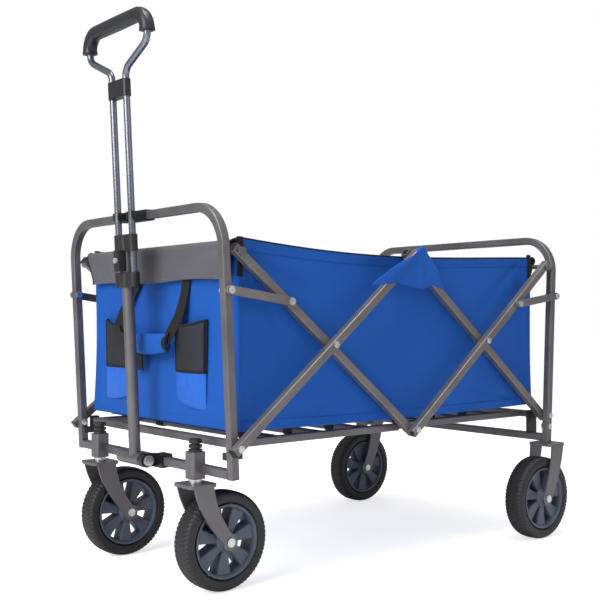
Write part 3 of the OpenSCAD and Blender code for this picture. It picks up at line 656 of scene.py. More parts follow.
# %% [markdown]
# ## Cloth tools
#
# Basket cloth hangs almost flat, pulled by its seams. Real cloth shows three things: long slow
# ripples, creases that run from where it is held, and stitched hems. Ripples are a sum of
# seeded waves, a crease is a soft ridge along a line, and stitches are small real threads.

# %% Ripples, creases, sheets and stitches
def ripples(a, b, seed, longest, height, count=7):
    """A sum of sine waves with seeded directions, lengths and phases."""
    draw = np.random.default_rng(seed)
    total = 0 * a
    for _ in range(count):
        turn = draw.uniform(0, np.pi)
        length = longest * draw.uniform(0.3, 1.0)
        phase = draw.uniform(0, 2 * np.pi)
        total += np.sin(2 * np.pi * (a * np.cos(turn) + b * np.sin(turn)) / length + phase) * length
    return height * total / (longest * count * 0.35)


def crease(a, b, start, end, width, height):
    """A ridge along a line: height * exp(-(distance / width)^2), fading towards its far end."""
    start, end = np.array(start), np.array(end)
    line = end - start
    t = np.clip(((a - start[0]) * line[0] + (b - start[1]) * line[1]) / (line @ line), 0, 1)
    away = np.hypot(a - start[0] - t * line[0], b - start[1] - t * line[1])
    return height * np.exp(-((away / (width * (0.5 + t))) ** 2)) * (1 - 0.8 * t)


def cloth_piece(name, points, uv, material, thickness=1.2 * MM):
    """A sheet of grid points with a real thickness, by Solidify on both sides of the grid."""
    faces = grid_faces(*points.shape[:2])
    piece = new_piece(name, points, faces, material, uv)
    wall = piece.modifiers.new("thickness", "SOLIDIFY")
    wall.thickness = thickness
    wall.offset = 0
    return piece


def resample(path, step):
    """Points along a path at equal steps, and the direction of the path at each."""
    gaps = np.linalg.norm(np.diff(path, axis=0), axis=1)
    at = np.concatenate([[0], np.cumsum(gaps)])
    wanted = np.arange(step / 2, at[-1], step)
    points = np.stack([np.interp(wanted, at, path[:, k]) for k in range(3)], -1)
    return points, unit(np.gradient(points, axis=0))


def stitches(name, paths, outward, material, body, pitch=5.0 * MM, thread=0.45 * MM):
    """One row of threads along each path: eight-faced slivers, sunk half into the cloth."""
    places, ahead = map(np.concatenate, zip(*[resample(np.asarray(p), pitch) for p in paths]))
    lift = unit(np.broadcast_to(np.asarray(outward, float), places.shape))
    side = np.cross(ahead, lift)
    corners = np.stack([
        -0.36 * pitch * ahead, thread * side, thread * lift, -thread * side, -thread * lift,
        0.36 * pitch * ahead,
    ], 1) + places[:, None]
    shape = np.array([[0, 1, 2], [0, 2, 3], [0, 3, 4], [0, 4, 1],
                      [5, 2, 1], [5, 3, 2], [5, 4, 3], [5, 1, 4]])
    faces = (shape[None] + 6 * np.arange(len(places))[:, None, None]).reshape(-1, 3)
    piece = new_piece(name, corners, faces.tolist(), material, np.zeros((len(places) * 6, 2)), True)
    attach(piece, body)
    return piece


def curve_through(points, count):
    """A Catmull-Rom curve through the points, sampled evenly by parameter."""
    p = np.asarray(points, float)
    p = np.vstack([2 * p[0] - p[1], p, 2 * p[-1] - p[-2]])
    t = np.linspace(0, len(p) - 3 - 1e-9, count)
    k = t.astype(int)
    f = (t - k)[:, None]
    a, b, c, d = p[k], p[k + 1], p[k + 2], p[k + 3]
    return 0.5 * (2 * b + (c - a) * f + (2 * a - 5 * b + 4 * c - d) * f ** 2
                  + (3 * b - 3 * c + d - a) * f ** 3)


def edge_binding(name, path, material, radius=1.6 * MM):
    """A narrow rolled tape along an edge: a round section carried along the path."""
    path = np.asarray(path, float)
    side = np.broadcast_to([0.0, 0.0, 1.0], path.shape)
    steep = np.abs(unit(np.gradient(path, axis=0))[:, 2:]) > 0.9
    side = np.where(steep, [0.0, 1.0, 0.0], side)
    return swept_piece(name, path, side, soft_box(radius, radius, 8, 2.0), material)


# %% [markdown]
# ## The basket walls
#
# The basket is four panels. The front and rear ones wrap just round the corners, where a seam
# joins them to the side panels. So each end panel rides on its own hem rod, and the side panels
# between them ride with the front one. The top edge sags between the corners.

# %% Sizes of the basket
front_rod_at = joint_at["front_rod_turn"]
rear_rod_at = joint_at["rear_rod_turn"]
side_low, side_high = span("side_panels")
front_low, _ = span("front_panel")
WALL_X = side_high[0] - 2.6 * MM
WALL_Y = -front_low[1] - 1 * MM
TOP = side_high[2] + 2 * MM
BOTTOM = side_low[2]
RETURN = 2 * MM
CORNER = 8 * MM
seam_y = WALL_Y - CORNER - RETURN


def top_edge(y):
    """Height of the top edge: highest in front, lowest past the middle, a little up again."""
    t = (y + WALL_Y) / (2 * WALL_Y)
    return TOP + 2 * MM - 17 * MM * np.sin(np.pi * np.clip(t, 0, 1) ** 0.8) ** 1.2 - 6 * MM * t


def corner_plan(count):
    """The end panel's plan: a straight return, a round corner, the long straight, and back."""
    turn = np.linspace(0, np.pi / 2, 9)
    inner = np.array([WALL_X - CORNER, -WALL_Y + CORNER])
    arc = inner + CORNER * np.stack([np.cos(turn), -np.sin(turn)], -1)
    half = np.vstack([[[WALL_X, -seam_y]], arc, [[0, -WALL_Y]]])
    whole = np.vstack([half, half[-2::-1] * [-1, 1]])
    gaps = np.linalg.norm(np.diff(whole, axis=0), axis=1)
    at = np.concatenate([[0], np.cumsum(gaps)])
    wanted = np.linspace(0, at[-1], count)
    return np.stack([np.interp(wanted, at, whole[:, k]) for k in range(2)], -1), wanted


print("wall", round(WALL_X, 4), round(WALL_Y, 4), "top", round(TOP, 4), "bottom", round(BOTTOM, 4))


# %% Front and rear panels
def end_panel(name, sign, seed, creases, bulge=0.0):
    """The plan carried up: pulled in at mid height, with ripples and creases out of plane."""
    plan, along = corner_plan(220)
    v = np.linspace(0, 1, 90)[:, None]
    x = plan[None, :, 0] + 0 * v
    y = plan[None, :, 1] + 0 * v
    across = smooth_step(WALL_X - 30 * MM, WALL_X, np.abs(x))
    rod_top = front_rod_at[2] + 9 * MM
    top = rod_top + (top_edge(-sign * y) - rod_top) * across
    low = BOTTOM + 3 * MM + 10 * MM * smooth_step(seam_y, WALL_Y - 12 * MM, np.abs(y))
    z = low + (top - low) * v
    face = smooth_step(0.0, 60 * MM, WALL_X - np.abs(x))
    waist = 0.034 * np.sin(np.pi * v ** 0.9) ** 1.4 - 0.014 * (1 - v) ** 6
    pulled = smooth_step(0.5, 1.0, np.abs(x) / WALL_X) * smooth_step(seam_y, WALL_Y, np.abs(y))
    x = x * (1 - waist * pulled)
    swell = ripples(x, z, seed, 0.34, 2.2 * MM) + sum(crease(x, z, *c) for c in creases)
    y = y - swell * face + 2.5 * MM * np.sin(np.pi * v) * face
    y = y - bulge * np.sin(np.pi * v) ** 0.6 * smooth_step(seam_y, WALL_Y - 3 * MM, np.abs(y))
    points = np.stack([x, -sign * y, z], -1)
    uv = np.stack([along[None, :] + 0 * v, z], -1)
    piece = cloth_piece(name, points, uv, blue_cloth)
    return piece, points


front_creases = [
    ((0.10, 0.56), (0.17, 0.42), 22 * MM, 2.6 * MM),
    ((-0.03, 0.55), (-0.12, 0.40), 22 * MM, 2.4 * MM),
    ((0.22, 0.60), (0.235, 0.33), 12 * MM, -2 * MM),
    ((-0.22, 0.60), (-0.235, 0.35), 12 * MM, -2 * MM),
    ((0.20, 0.31), (0.02, 0.36), 18 * MM, 2 * MM), ((-0.20, 0.31), (-0.02, 0.37), 18 * MM, 2 * MM),
]
front_wall, front_points = end_panel("basket_front", -1, 3, front_creases)
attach(front_wall, "front_panel_set")
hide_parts("front_panel")

rear_wall, rear_points = end_panel("basket_rear", 1, 8, front_creases[2:], 9 * MM)
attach(rear_wall, "rear_panel_set")
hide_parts("rear_panel")
print("end panels", front_points.shape)


# %% Side panels
def lower_edge(y):
    """The hem sags a little between its ends."""
    t = np.clip((y + seam_y) / (2 * seam_y), 0, 1)
    return BOTTOM + 3 * MM - 4 * MM * np.sin(np.pi * t)


def side_panel(sign, seed):
    """x = wall - ripples - creases; z runs from the lower to the top edge at each y."""
    y = np.linspace(-seam_y, seam_y, 260)[None, :]
    v = np.linspace(0, 1, 96)[:, None]
    low = lower_edge(y)
    z = low + (top_edge(y) - low) * v
    y = y + 0 * v
    inner = smooth_step(0, 0.06, v) * smooth_step(0, 0.05, 1 - v)
    inner = inner * smooth_step(0, 0.03, seam_y - np.abs(y))
    drawn = ripples(y, z, seed, 0.5, 3.0 * MM) + 3.4 * MM
    for c in [
        ((-0.40, 0.60), (-0.16, 0.49), 15 * MM, 3.6 * MM),
        ((-0.39, 0.585), (-0.27, 0.40), 13 * MM, 3.0 * MM),
        ((0.0, 0.60), (-0.14, 0.47), 17 * MM, -3.2 * MM),
        ((0.02, 0.60), (0.16, 0.46), 17 * MM, 3.4 * MM),
        ((0.36, 0.60), (0.20, 0.47), 15 * MM, 3.6 * MM),
        ((-0.36, 0.30), (-0.10, 0.34), 11 * MM, 2.6 * MM),
        ((0.34, 0.31), (0.12, 0.35), 11 * MM, 2.8 * MM),
        ((0.0, 0.59), (0.01, 0.33), 20 * MM, 3.0 * MM),
    ]:
        drawn = drawn + crease(y, z, *c)
    x = WALL_X - np.clip(drawn, 0.2 * MM, None) * inner
    points = np.stack([sign * x, y, z], -1)
    side = "left" if sign > 0 else "right"
    uv = np.stack([y, z], -1)
    piece = cloth_piece("basket_side_" + side, points, uv, blue_cloth)
    return piece, points


def folds_with_side(piece):
    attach(piece, "front_panel_set")
    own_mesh(piece)
    return piece


side_points = {}
for sign, side in ((1, "left"), (-1, "right")):
    panel, points = side_panel(sign, 11 if sign > 0 else 12)
    side_points[side] = points
    folds_with_side(panel)
    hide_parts("side_panels")
print("side panels", points.shape)

# %% [markdown]
# ## Hems, seams and bindings
#
# The panels end in folded hems. A hem is a second, narrow layer of the same cloth that stands
# half a millimetre proud, with a row of stitches near its edge. The top edges of the sides
# are bound with black tape.

# %% Hem bands and their stitches
def band(name, points, rows, outward, material, lift=0.5 * MM):
    """A strip of the panel's own grid, moved outward."""
    strip = points[rows] + np.asarray(outward) * lift
    along = np.linspace(0, 1, strip.shape[1])[None, :] + 0 * strip[..., 0]
    uv = np.stack([along, strip[..., 2]], -1)
    return cloth_piece(name, strip, uv, material, 0.8 * MM)


for sign, side in ((1, "left"), (-1, "right")):
    points = side_points[side]
    out = (sign * 1.0, 0, 0)
    top_band = folds_with_side(band(f"top_hem_{side}", points, slice(-7, None), out, blue_cloth))
    low_band = folds_with_side(band(f"low_hem_{side}", points, slice(0, 6), out, blue_cloth))
    tape = folds_with_side(edge_binding(f"top_tape_{side}", points[-1], binding))
    rows = [points[row] + np.array(out) * 1.3 * MM for row in (-7, 5, 1)]
    seams = [points[3:-3, column] + np.array(out) * 0.6 * MM for column in (3, -4)]
    thread = stitches(f"side_stitches_{side}", rows + seams, out, blue_thread, "front_panel_set")
    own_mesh(thread)

for name, points, body, out in (
    ("front", front_points, "front_panel_set", (0, -1, 0)),
    ("rear", rear_points, "rear_panel_set", (0, 1, 0)),
):
    thread = stitches(
        f"{name}_hem_stitches", [points[5] + np.array(out) * 0.7 * MM], out, blue_thread, body
    )
print("hems and tapes made")

# %% [markdown]
# ## The floor of the basket
#
# The basket's bottom is cloth over two stiff boards, one for each half of the folding floor.
# Each half lies on its board and swings up with it, so it is its own piece.

# %% Liner and boards
def board_points(low, high, radius=2.2 * MM):
    """A slab with round edges: a superellipse section across X, carried along Y."""
    y = np.linspace(low[1], high[1], 40)
    edge = np.sqrt(np.clip(1 - (np.abs(2 * (y - low[1]) / (high[1] - low[1]) - 1)) ** 40, 0.001, 1))
    half = np.array([(high[0] - low[0]) / 2, (high[2] - low[2]) / 2])
    outline = soft_box(1, 1, 64, 14)[None] * half
    outline = outline * np.stack([0.985 + 0.015 * edge, edge], -1)[:, None, :]
    middle = (low + high) / 2
    return np.stack([
        middle[0] + outline[..., 0],
        y[:, None] + 0 * outline[..., 0],
        middle[2] + outline[..., 1],
    ], -1)


for name, sign, body in (("front", -1, "front_floor"), ("rear", 1, "rear_floor")):
    low, high = span(f"{name}_floor_board")
    points = board_points(low, high)
    uv = points[..., :2]
    board = new_piece(f"floor_board_{name}", points, capped(points), blue_cloth, uv, True)
    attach(board, body)
    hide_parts(f"{name}_floor_board")

    u = np.linspace(-1, 1, 120)[None, :]
    v = np.linspace(0, 1, 90)[:, None]
    x = u * (WALL_X - 7 * MM) + 0 * v
    y = sign * (1.5 * MM + v * (WALL_Y - 9 * MM)) + 0 * u
    lift = np.clip(ripples(x, y, 21 + sign, 0.22, 1.4 * MM), -0.8 * MM, 2 * MM)
    sag = 1.5 * MM * smooth_step(0.2, 0.0, v) + 0 * u
    turned_up = 12 * MM * smooth_step(0.92, 1.0, np.maximum(np.abs(u) + 0 * v, v + 0 * u))
    z = high[2] + 1.6 * MM + lift - sag + turned_up
    points = np.stack([x, y, z], -1)
    liner = cloth_piece(f"floor_liner_{name}", points, points[..., :2], blue_cloth)
    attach(liner, body)
    border = [np.array([[-0.2, y0, high[2] + 3.4 * MM], [0.2, y0, high[2] + 3.4 * MM]])
              for y0 in (sign * 12 * MM, sign * (WALL_Y - 30 * MM))]
    thread = stitches(f"liner_stitches_{name}", border, (0, 0, 1), blue_thread, body)
print("floor liner at", round(float(z.mean()), 4))

# %% [markdown]
# ## Webbing ties under the floor
#
# Short black webbing loops hold each board to its slats. A loop is a flat section carried down
# one side of a slat, under it and up the other side.

# %% Floor ties
for name, body in (("front", "front_floor"), ("rear", "rear_floor")):
    low, high = span(f"{name}_floor_ties")
    frame_low, frame_high = span(f"{name}_floor_frame")
    half_slat = (frame_high[2] - frame_low[2]) / 2
    parts = []
    for y in np.linspace(low[1] + 6 * MM, high[1] - 6 * MM, 3):
        for x in (low[0] + 12.5 * MM, high[0] - 12.5 * MM):
            side = half_slat + 1.2 * MM
            foot = frame_low[2] - 1.2 * MM
            loop = curve_through([
                (x, y - side, high[2]), (x, y - side, foot + 5 * MM), (x, y - side + 3 * MM, foot),
                (x, y + side - 3 * MM, foot), (x, y + side, foot + 5 * MM), (x, y + side, high[2]),
            ], 40)
            outline = soft_box(12.5 * MM, 0.8 * MM, 16, 5)
            points = sweep(loop, np.broadcast_to([1.0, 0, 0], loop.shape), outline)
            parts.append((points, capped(points)))
    ties = joined(f"webbing_ties_{name}", parts, webbing)
    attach(ties, body)
    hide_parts(f"{name}_floor_ties")

# %% [markdown]
# ## The flaps over the hem rods
#
# In front a grey flap starts inside the basket, goes over the rod and hangs outside it. It is
# one sheet: a straight rise, an arc over the rod and a straight drop, with folds that run in
# from its corner, and black tape round its cut edges.

# %% Front and rear flaps
def flap(name, sign, node, material, body, seed, creases):
    """Path in (y, z): up inside, over the rod by an arc, down outside; x runs across."""
    low, high = span(node)
    outer = max(abs(low[1]), abs(high[1])) - 1.5 * MM
    inner = WALL_Y - 3.5 * MM
    middle = (outer + inner) / 2
    radius = (outer - inner) / 2
    crown = high[2] - 1 * MM
    turn = np.linspace(0, np.pi, 16)
    arc = np.stack([middle - radius * np.cos(turn), crown - radius + radius * np.sin(turn)], -1)
    path = np.vstack([[[inner, crown - 26 * MM]], arc, [[outer, low[2]]]])
    gaps = np.concatenate([[0], np.cumsum(np.linalg.norm(np.diff(path, axis=0), axis=1))])
    at = np.linspace(0, gaps[-1], 84)
    y = np.interp(at, gaps, path[:, 0])[:, None]
    z = np.interp(at, gaps, path[:, 1])[:, None]
    u = np.linspace(-1, 1, 200)[None, :]
    half = high[0] - 1 * MM
    drop = smooth_step(crown - 6 * MM, low[2], z)
    x = u * (half - np.where(u < 0, 27, 9) * MM * drop)
    hang = ripples(x, z, seed, 0.3, 1.6 * MM) + sum(crease(x, z, *c) for c in creases)
    y = y + np.clip(hang, -2.5 * MM, 2.5 * MM) * smooth_step(0, 0.3, drop) * (y > middle)
    wave = 2.2 * MM * np.sin(5.3 * x / half + seed) * smooth_step(0.5, 1, drop) * (y > middle)
    z = z + wave + 0 * u
    points = np.stack([x, sign * y, z], -1)
    uv = np.stack([x, at[:, None] + 0 * x], -1)
    piece = cloth_piece(name, points, uv, material)
    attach(piece, body)
    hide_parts(node)
    for label, edge_points in (("left", points[:, -1]), ("right", points[:, 0])):
        tape = edge_binding(f"{name}_tape_{label}", edge_points, binding, 2.0 * MM)
        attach(tape, body)
    out = (0, sign, 0)
    hem = [points[-5] + np.array(out) * 0.8 * MM, points[-2] + np.array(out) * 0.8 * MM]
    thread = stitches(f"{name}_stitches", hem, out, grey_thread, body)
    return piece


flap_creases = [
    ((0.245, 0.615), (0.13, 0.565), 9 * MM, 3.6 * MM),
    ((0.235, 0.61), (0.19, 0.56), 7 * MM, 3.2 * MM),
    ((0.12, 0.56), (0.03, 0.585), 10 * MM, 2.0 * MM),
    ((-0.16, 0.562), (-0.22, 0.61), 11 * MM, -2.4 * MM),
]
front_flap = flap(
    "front_flap_cloth", -1, "front_flap", grey_cloth, "front_panel_set", 5, flap_creases)
flap("rear_flap_cloth", 1, "rear_flap", grey_cloth, "rear_panel_set", 6, flap_creases[2:])
print("flap length", round(front_flap.dimensions[2], 3))

# %% [markdown]
# ## Cup pockets
#
# Each pocket is a knitted mesh band that stands away from the panel, bound in black, over a
# gathered pouch of a lighter blue cloth, partly painted highlight. Both are bulged sheets: the
# distance from the panel is a function of the place across and up, and the pouch has pleats that
# fade downwards.

# %% Build the pockets
POCKET_AT = {"left": (0.120, 50 * MM), "right": (-0.137, 53 * MM)}
NET_FOOT, NET_TOP, POUCH_FOOT = 0.387, 0.471, 0.322
POCKET_TAPE = 2.4 * MM
PANEL_FACE = -WALL_Y - 1 * MM


def bulged(x0, x1, z0, z1, depth, columns, rows, narrow=0.0):
    """y = panel - depth(u, v); depth falls to nothing at both sides as a power of sin(pi u)."""
    u = np.linspace(0, 1, columns)[None, :]
    v = np.linspace(0, 1, rows)[:, None]
    middle = (x0 + x1) / 2
    half = (x1 - x0) / 2 * (1 - narrow * (1 - v))
    x = middle + half * (2 * u - 1)
    z = z0 + (z1 - z0) * v + 0 * u
    y = PANEL_FACE - depth(u, v)
    return np.stack([x, y, z], -1), u, v


def mesh_depth(u, v):
    return np.sin(np.pi * u) ** 0.55 * (14 * MM + 3 * MM * v)


def pouch_depth(seed):
    """A belly with pleats and one long crease, which meets the net's depth at the top."""
    def depth(u, v):
        pleats = 1 + 0.10 * np.sin(2 * np.pi * (4.5 * u + 0.35 * v) + seed) * v ** 0.7
        belly = np.clip(v, 0, 1) ** 0.42 * (1.12 - 0.34 * v)
        fold = crease(u, v, (0.12, 0.92), (0.86, 0.18), 0.07, 4 * MM)
        side = np.sin(np.pi * np.clip(u, 0, 1))
        loose = side ** 0.6 * (19 * MM * pleats * belly + fold * v)
        held = smooth_step(0.72, 1.0, v)
        return loose * (1 - held) + (mesh_depth(u, 0) + 0.6 * MM) * held
    return depth


for sign, side in ((1, "left"), (-1, "right")):
    middle, half = POCKET_AT[side]
    mesh_points, u, v = bulged(
        middle - half, middle + half, NET_FOOT, NET_TOP, mesh_depth, 60, 40, 0.04)
    mesh_points[..., 2] += (4 * MM * (2 * u - 1) * sign + 5 * MM * (2 * u - 1) ** 2) * v
    uv = mesh_points[..., [0, 2]]
    net = cloth_piece(f"pocket_net_{side}", mesh_points, uv, pocket_mesh, 0.7 * MM)
    pouch_points, u, v = bulged(
        middle - 0.96 * half, middle + 0.96 * half, POUCH_FOOT, NET_FOOT + 1 * MM,
        pouch_depth(sign), 90, 50, 0.03 if sign > 0 else -0.07)
    tilted = 6 * MM * np.abs(2 * u - 1) ** 2 - 7 * MM * sign * (2 * u - 1)
    pouch_points[..., 2] += tilted * (1 - v)
    uv = pouch_points[..., [0, 2]]
    # The pouch's lighter blue is partly its own colour and partly painted highlight.
    pouch = cloth_piece(f"pocket_pouch_{side}", pouch_points, uv, pouch_cloth_with_painted_highlight)
    for piece, size, slot in (
        (net, (0.115, 0.09), "webbing"), (pouch, (0.12, 0.075), "blue_fabric"),
    ):
        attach(piece, "front_panel_set")
    for label, edge_points in (
        ("top", mesh_points[-1]), ("foot", mesh_points[0]),
        ("inner", mesh_points[:, 2]), ("outer", mesh_points[:, -3]),
    ):
        tape = edge_binding(f"pocket_tape_{label}_{side}", edge_points, binding, POCKET_TAPE)
        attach(tape, "front_panel_set")
    if sign > 0:
        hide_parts("cup_pockets")
print("pockets at", POCKET_AT)

# %% [markdown]
# ## The carry handle
#
# Two straps of flat black webbing come from under the flap and meet in a padded blue cuff. A
# strap is a thin rounded section carried along a curve through a few given points.

# %% Straps and cuff
def strap(name, points, facing, width, body, thickness=1.8 * MM):
    path = curve_through(points, 60)
    tangent = unit(np.gradient(path, axis=0))
    side = np.cross(tangent, np.broadcast_to(np.asarray(facing, float), path.shape))
    piece = swept_piece(name, path, side, soft_box(width / 2, thickness / 2, 20, 5), webbing)
    length = float(np.linalg.norm(np.diff(path, axis=0), axis=1).sum())
    uv = piece.data.uv_layers.new(name="cloth")
    corner = np.empty(len(piece.data.loops), np.int32)
    piece.data.loops.foreach_get("vertex_index", corner)
    along = np.repeat(np.linspace(0, length, 60), 20)
    across = np.tile(soft_box(width / 2, thickness / 2, 20, 5)[:, 0], 60)
    uv.data.foreach_set("uv", np.stack([across, along], -1)[corner].ravel())
    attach(piece, body)
    return piece


FACE = PANEL_FACE - 2.5 * MM
right_strap = strap("carry_strap_right", [
    (0.107, FACE - 1 * MM, 0.566), (0.104, FACE - 3 * MM, 0.530), (0.094, FACE - 9 * MM, 0.490),
    (0.083, FACE - 16 * MM, 0.464), (0.070, FACE - 22 * MM, 0.441),
], (0, -1, 0), 26 * MM, "front_panel_set")
strap("carry_strap_left", [
    (-0.055, FACE - 1 * MM, 0.566), (-0.088, FACE - 3 * MM, 0.526), (-0.114, FACE - 7 * MM, 0.493),
    (-0.124, FACE - 13 * MM, 0.466), (-0.104, FACE - 19 * MM, 0.446),
    (-0.066, FACE - 22 * MM, 0.438),
], (0, -1, 0), 26 * MM, "front_panel_set")
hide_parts("carry_handle")


def cuff_points():
    """A flattened tube whose section swells in the middle and pinches at both ends."""
    t = np.linspace(0, 1, 60)
    x = -0.064 + t * 0.138
    swell = 0.82 + 0.18 * np.sin(np.pi * t) ** 0.5
    height = 19.5 * MM * swell
    depth = 8.0 * MM * swell
    outline = np.stack([soft_box(h, d, 40, 2.8) for h, d in zip(height, depth)])
    droop = 0.439 - 4 * MM * np.sin(np.pi * t)
    return np.stack([
        x[:, None] + 0 * outline[..., 0],
        PANEL_FACE - 24 * MM - outline[..., 1],
        droop[:, None] + outline[..., 0],
    ], -1)


points = cuff_points()
cuff = new_piece("carry_cuff", points, capped(points), blue_cloth, points[..., [0, 2]], True)
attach(cuff, "front_panel_set")
for label, x in (("left", -0.064), ("right", 0.074)):
    strap(f"cuff_end_{label}", [
        (x, PANEL_FACE - 24 * MM, 0.421), (x, PANEL_FACE - 31.5 * MM, 0.431),
        (x, PANEL_FACE - 32.5 * MM, 0.443), (x, PANEL_FACE - 24 * MM, 0.457),
    ], (0, -1, 0), 12 * MM, "front_panel_set", 2.2 * MM)
strap("cuff_fastener", [
    (-0.042, PANEL_FACE - 15 * MM, 0.428), (-0.042, PANEL_FACE - 17 * MM, 0.408),
    (-0.042, PANEL_FACE - 15 * MM, 0.384),
], (0, -1, 0), 34 * MM, "front_panel_set", 2.4 * MM)
print("straps and cuff made")

# %% [markdown]
# ## The corners over the centre pivots
#
# A loose piece of blue cloth is folded over each top centre pivot. It starts inside the wall's
# top edge, crosses over the bars and hangs outside them in a skewed triangle, with
# ridges where the bars push it out.

# %% Centre flaps
def centre_flap(sign, seed):
    """Rows go from the wall over the bars and down; columns fan out from a narrow top."""
    low, high = span("centre_flaps")
    outside = high[0] - 1.8 * MM
    crown = high[2] - 5 * MM
    v = np.linspace(0, 1, 80)[:, None]
    u = np.linspace(-1, 1, 110)[None, :]
    cross = smooth_step(0, 0.28, v)
    fall = np.clip((v - 0.24) / 0.76, 0, 1)
    x = WALL_X - 3 * MM + (outside - WALL_X + 3 * MM) * cross
    spread_front = 0.012 + 0.126 * fall ** 0.85
    spread_rear = 0.012 + 0.047 * fall ** 0.85
    y = np.where(u < 0, u * spread_front, u * spread_rear) + 8 * MM
    hem = np.where(u < -0.45, 0.549, 0.5445) - 3 * MM * np.cos(2.2 * np.pi * u)
    rise = crown - 9 * MM * np.abs(u) ** 2 * (1 - fall)
    z = rise + (hem - rise) * fall ** 1.15 - 5 * MM * np.abs(u) * cross * (1 - fall)
    ridge = (
        crease(y, z, (0.004, 0.625), (-0.095, 0.552), 9 * MM, 7 * MM)
        + crease(y, z, (0.012, 0.622), (0.050, 0.556), 9 * MM, 6 * MM)
        + crease(y, z, (0.000, 0.615), (-0.030, 0.545), 13 * MM, -4 * MM)
        + ripples(y, z, seed, 0.09, 1.2 * MM)
    )
    limit = high[0] + 6 * MM
    x = np.minimum(x + np.clip(ridge, -0.5 * MM, 8 * MM) * smooth_step(0.1, 0.6, fall), limit)
    z = z + 4 * MM * np.exp(-((y - 0.006) / 0.016) ** 2) * (1 - fall) * cross
    z = z + (top_edge(y) - 4 * MM - z) * (1 - smooth_step(0, 0.22, v))
    points = np.stack([sign * x, y, z], -1)
    piece = cloth_piece("centre_corner_" + ("left" if sign > 0 else "right"), points,
                        np.stack([y, v * 0.12 + 0 * y], -1), blue_cloth)
    folds_with_side(piece)
    return piece, points


for sign in (1, -1):
    corner_cloth, points = centre_flap(sign, 30 + sign)
    if sign > 0:
        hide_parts("centre_flaps")
    out = (sign, 0, 0)
    hem_path = points[-4] + np.array(out) * 0.9 * MM
    thread = stitches(f"corner_stitches_{'left' if sign > 0 else 'right'}", [hem_path], out,
                      blue_thread, "front_panel_set")
    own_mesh(thread)
print("centre corners made")

# %% [markdown]
# ## Webbing at the basket's corners
#
# At each top corner a short black strap loops over the end of the hem rod and is sewn to the
# corner seam.

# %% Corner straps
for sign_y, body in ((-1, "front_panel_set"), (1, "rear_panel_set")):
    for sign_x, side in ((1, "left"), (-1, "right")):
        end = "front" if sign_y < 0 else "rear"
        y0 = sign_y * (WALL_Y - 8 * MM)
        x0 = sign_x * (WALL_X + 1.5 * MM)
        strap(f"corner_strap_{end}_{side}", [
            (x0 - sign_x * 5 * MM, y0, TOP - 10 * MM), (x0 - sign_x * 1.5 * MM, y0, TOP + 2.5 * MM),
            (x0 + sign_x * 0.6 * MM, y0, TOP - 8 * MM), (x0 + sign_x * 0.8 * MM, y0, TOP - 40 * MM),
            (x0 + sign_x * 0.6 * MM, y0 + sign_y * 2 * MM, TOP - 66 * MM),
        ], (sign_x, 0, 0), 12 * MM, body, 1.4 * MM)
print("corner straps made")

# %% [markdown]
# ## The grip
#
# The grip is a moulding over the bent tubes, with a slight flare at both ends where the tubes
# go in. It is a superellipse carried along an arch, and its two half sizes change along the way.

# %% Mould the grip
grip_low, grip_high = span("grip")
tilt = joint_at["handle_tilt"]
slide_axis = next(np.array(j["axis"]) for j in frame["joints"] if j["name"] == "handle_slide")
across_axis = np.array([1.0, 0, 0])
front_axis = np.cross(across_axis, slide_axis) * -1.0


def in_handle(x, front, s):
    """A point in the handle's frame: x across, front towards the puller, s up the pole."""
    return tilt + x * across_axis + front * front_axis + s * slide_axis


GRIP_TOP = (grip_high[2] - tilt[2]) / slide_axis[2] - 15.2 * MM
GRIP_FOOT = (grip_low[2] - tilt[2]) / slide_axis[2] + 1 * MM
GRIP_X = (grip_high[0] - grip_low[0]) / 2 - 15 * MM


def grip_points(count=150):
    """Arch: straight leg, quarter turn, straight crossing; half sizes vary with the arc length."""
    bend = 31 * MM
    turn = np.linspace(0, np.pi / 2, 24)
    across = -GRIP_X + bend - bend * np.cos(turn)
    left = np.stack([across, GRIP_TOP - bend + bend * np.sin(turn)], -1)
    half = np.vstack([[[-GRIP_X, GRIP_FOOT]], left])
    whole = np.vstack([half, half[::-1] * [-1, 1]])
    at = np.concatenate([[0], np.cumsum(np.linalg.norm(np.diff(whole, axis=0), axis=1))])
    wanted = np.linspace(0, at[-1], count)
    path = np.stack([np.interp(wanted, at, whole[:, k]) for k in range(2)], -1)
    t = np.abs(2 * wanted / at[-1] - 1)
    hand = np.exp(-(t / 0.34) ** 2)
    socket = smooth_step(0.93, 0.99, t)
    deep = 12.9 * MM + 0.5 * MM * hand + 1.0 * MM * socket
    wide = 12.9 * MM + 0.3 * MM * hand + 1.0 * MM * socket
    path3 = in_handle(path[:, :1], 0.0, path[:, 1:])
    outline = np.stack([soft_box(d, w, 44, 2.4) for d, w in zip(deep, wide)])
    return sweep(path3, np.broadcast_to(front_axis, path3.shape), outline)


points = grip_points()
grip = new_piece("moulded_grip", points, capped(points), grip_plastic, closed=True)
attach(grip, "upper_handle")
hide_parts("grip")
print("grip from", round(GRIP_FOOT, 3), "to", round(GRIP_TOP, 3))


# %% Small screws
def screw_points(place, axis, radius):
    """A domed head: rings of radius r cos(t) at height 0.55 r sin(t), with a sunk middle."""
    axis = unit(np.asarray(axis, float))
    side = unit(np.cross(axis, [0.3, 0.2, 1.0]))
    other = np.cross(axis, side)
    t = np.linspace(0, 1.45, 7)
    ring = radius * np.cos(t)
    rise = 0.55 * radius * np.sin(t)
    ring = np.concatenate([[radius], ring, [ring[-1] * 0.6]])
    rise = np.concatenate([[-radius * 0.6], rise, [rise[-1] - 0.25 * radius]])
    turn = np.linspace(0, 2 * np.pi, 20, endpoint=False)
    return (place + rise[:, None, None] * axis
            + ring[:, None, None] * (np.cos(turn)[None, :, None] * side
                                     + np.sin(turn)[None, :, None] * other))


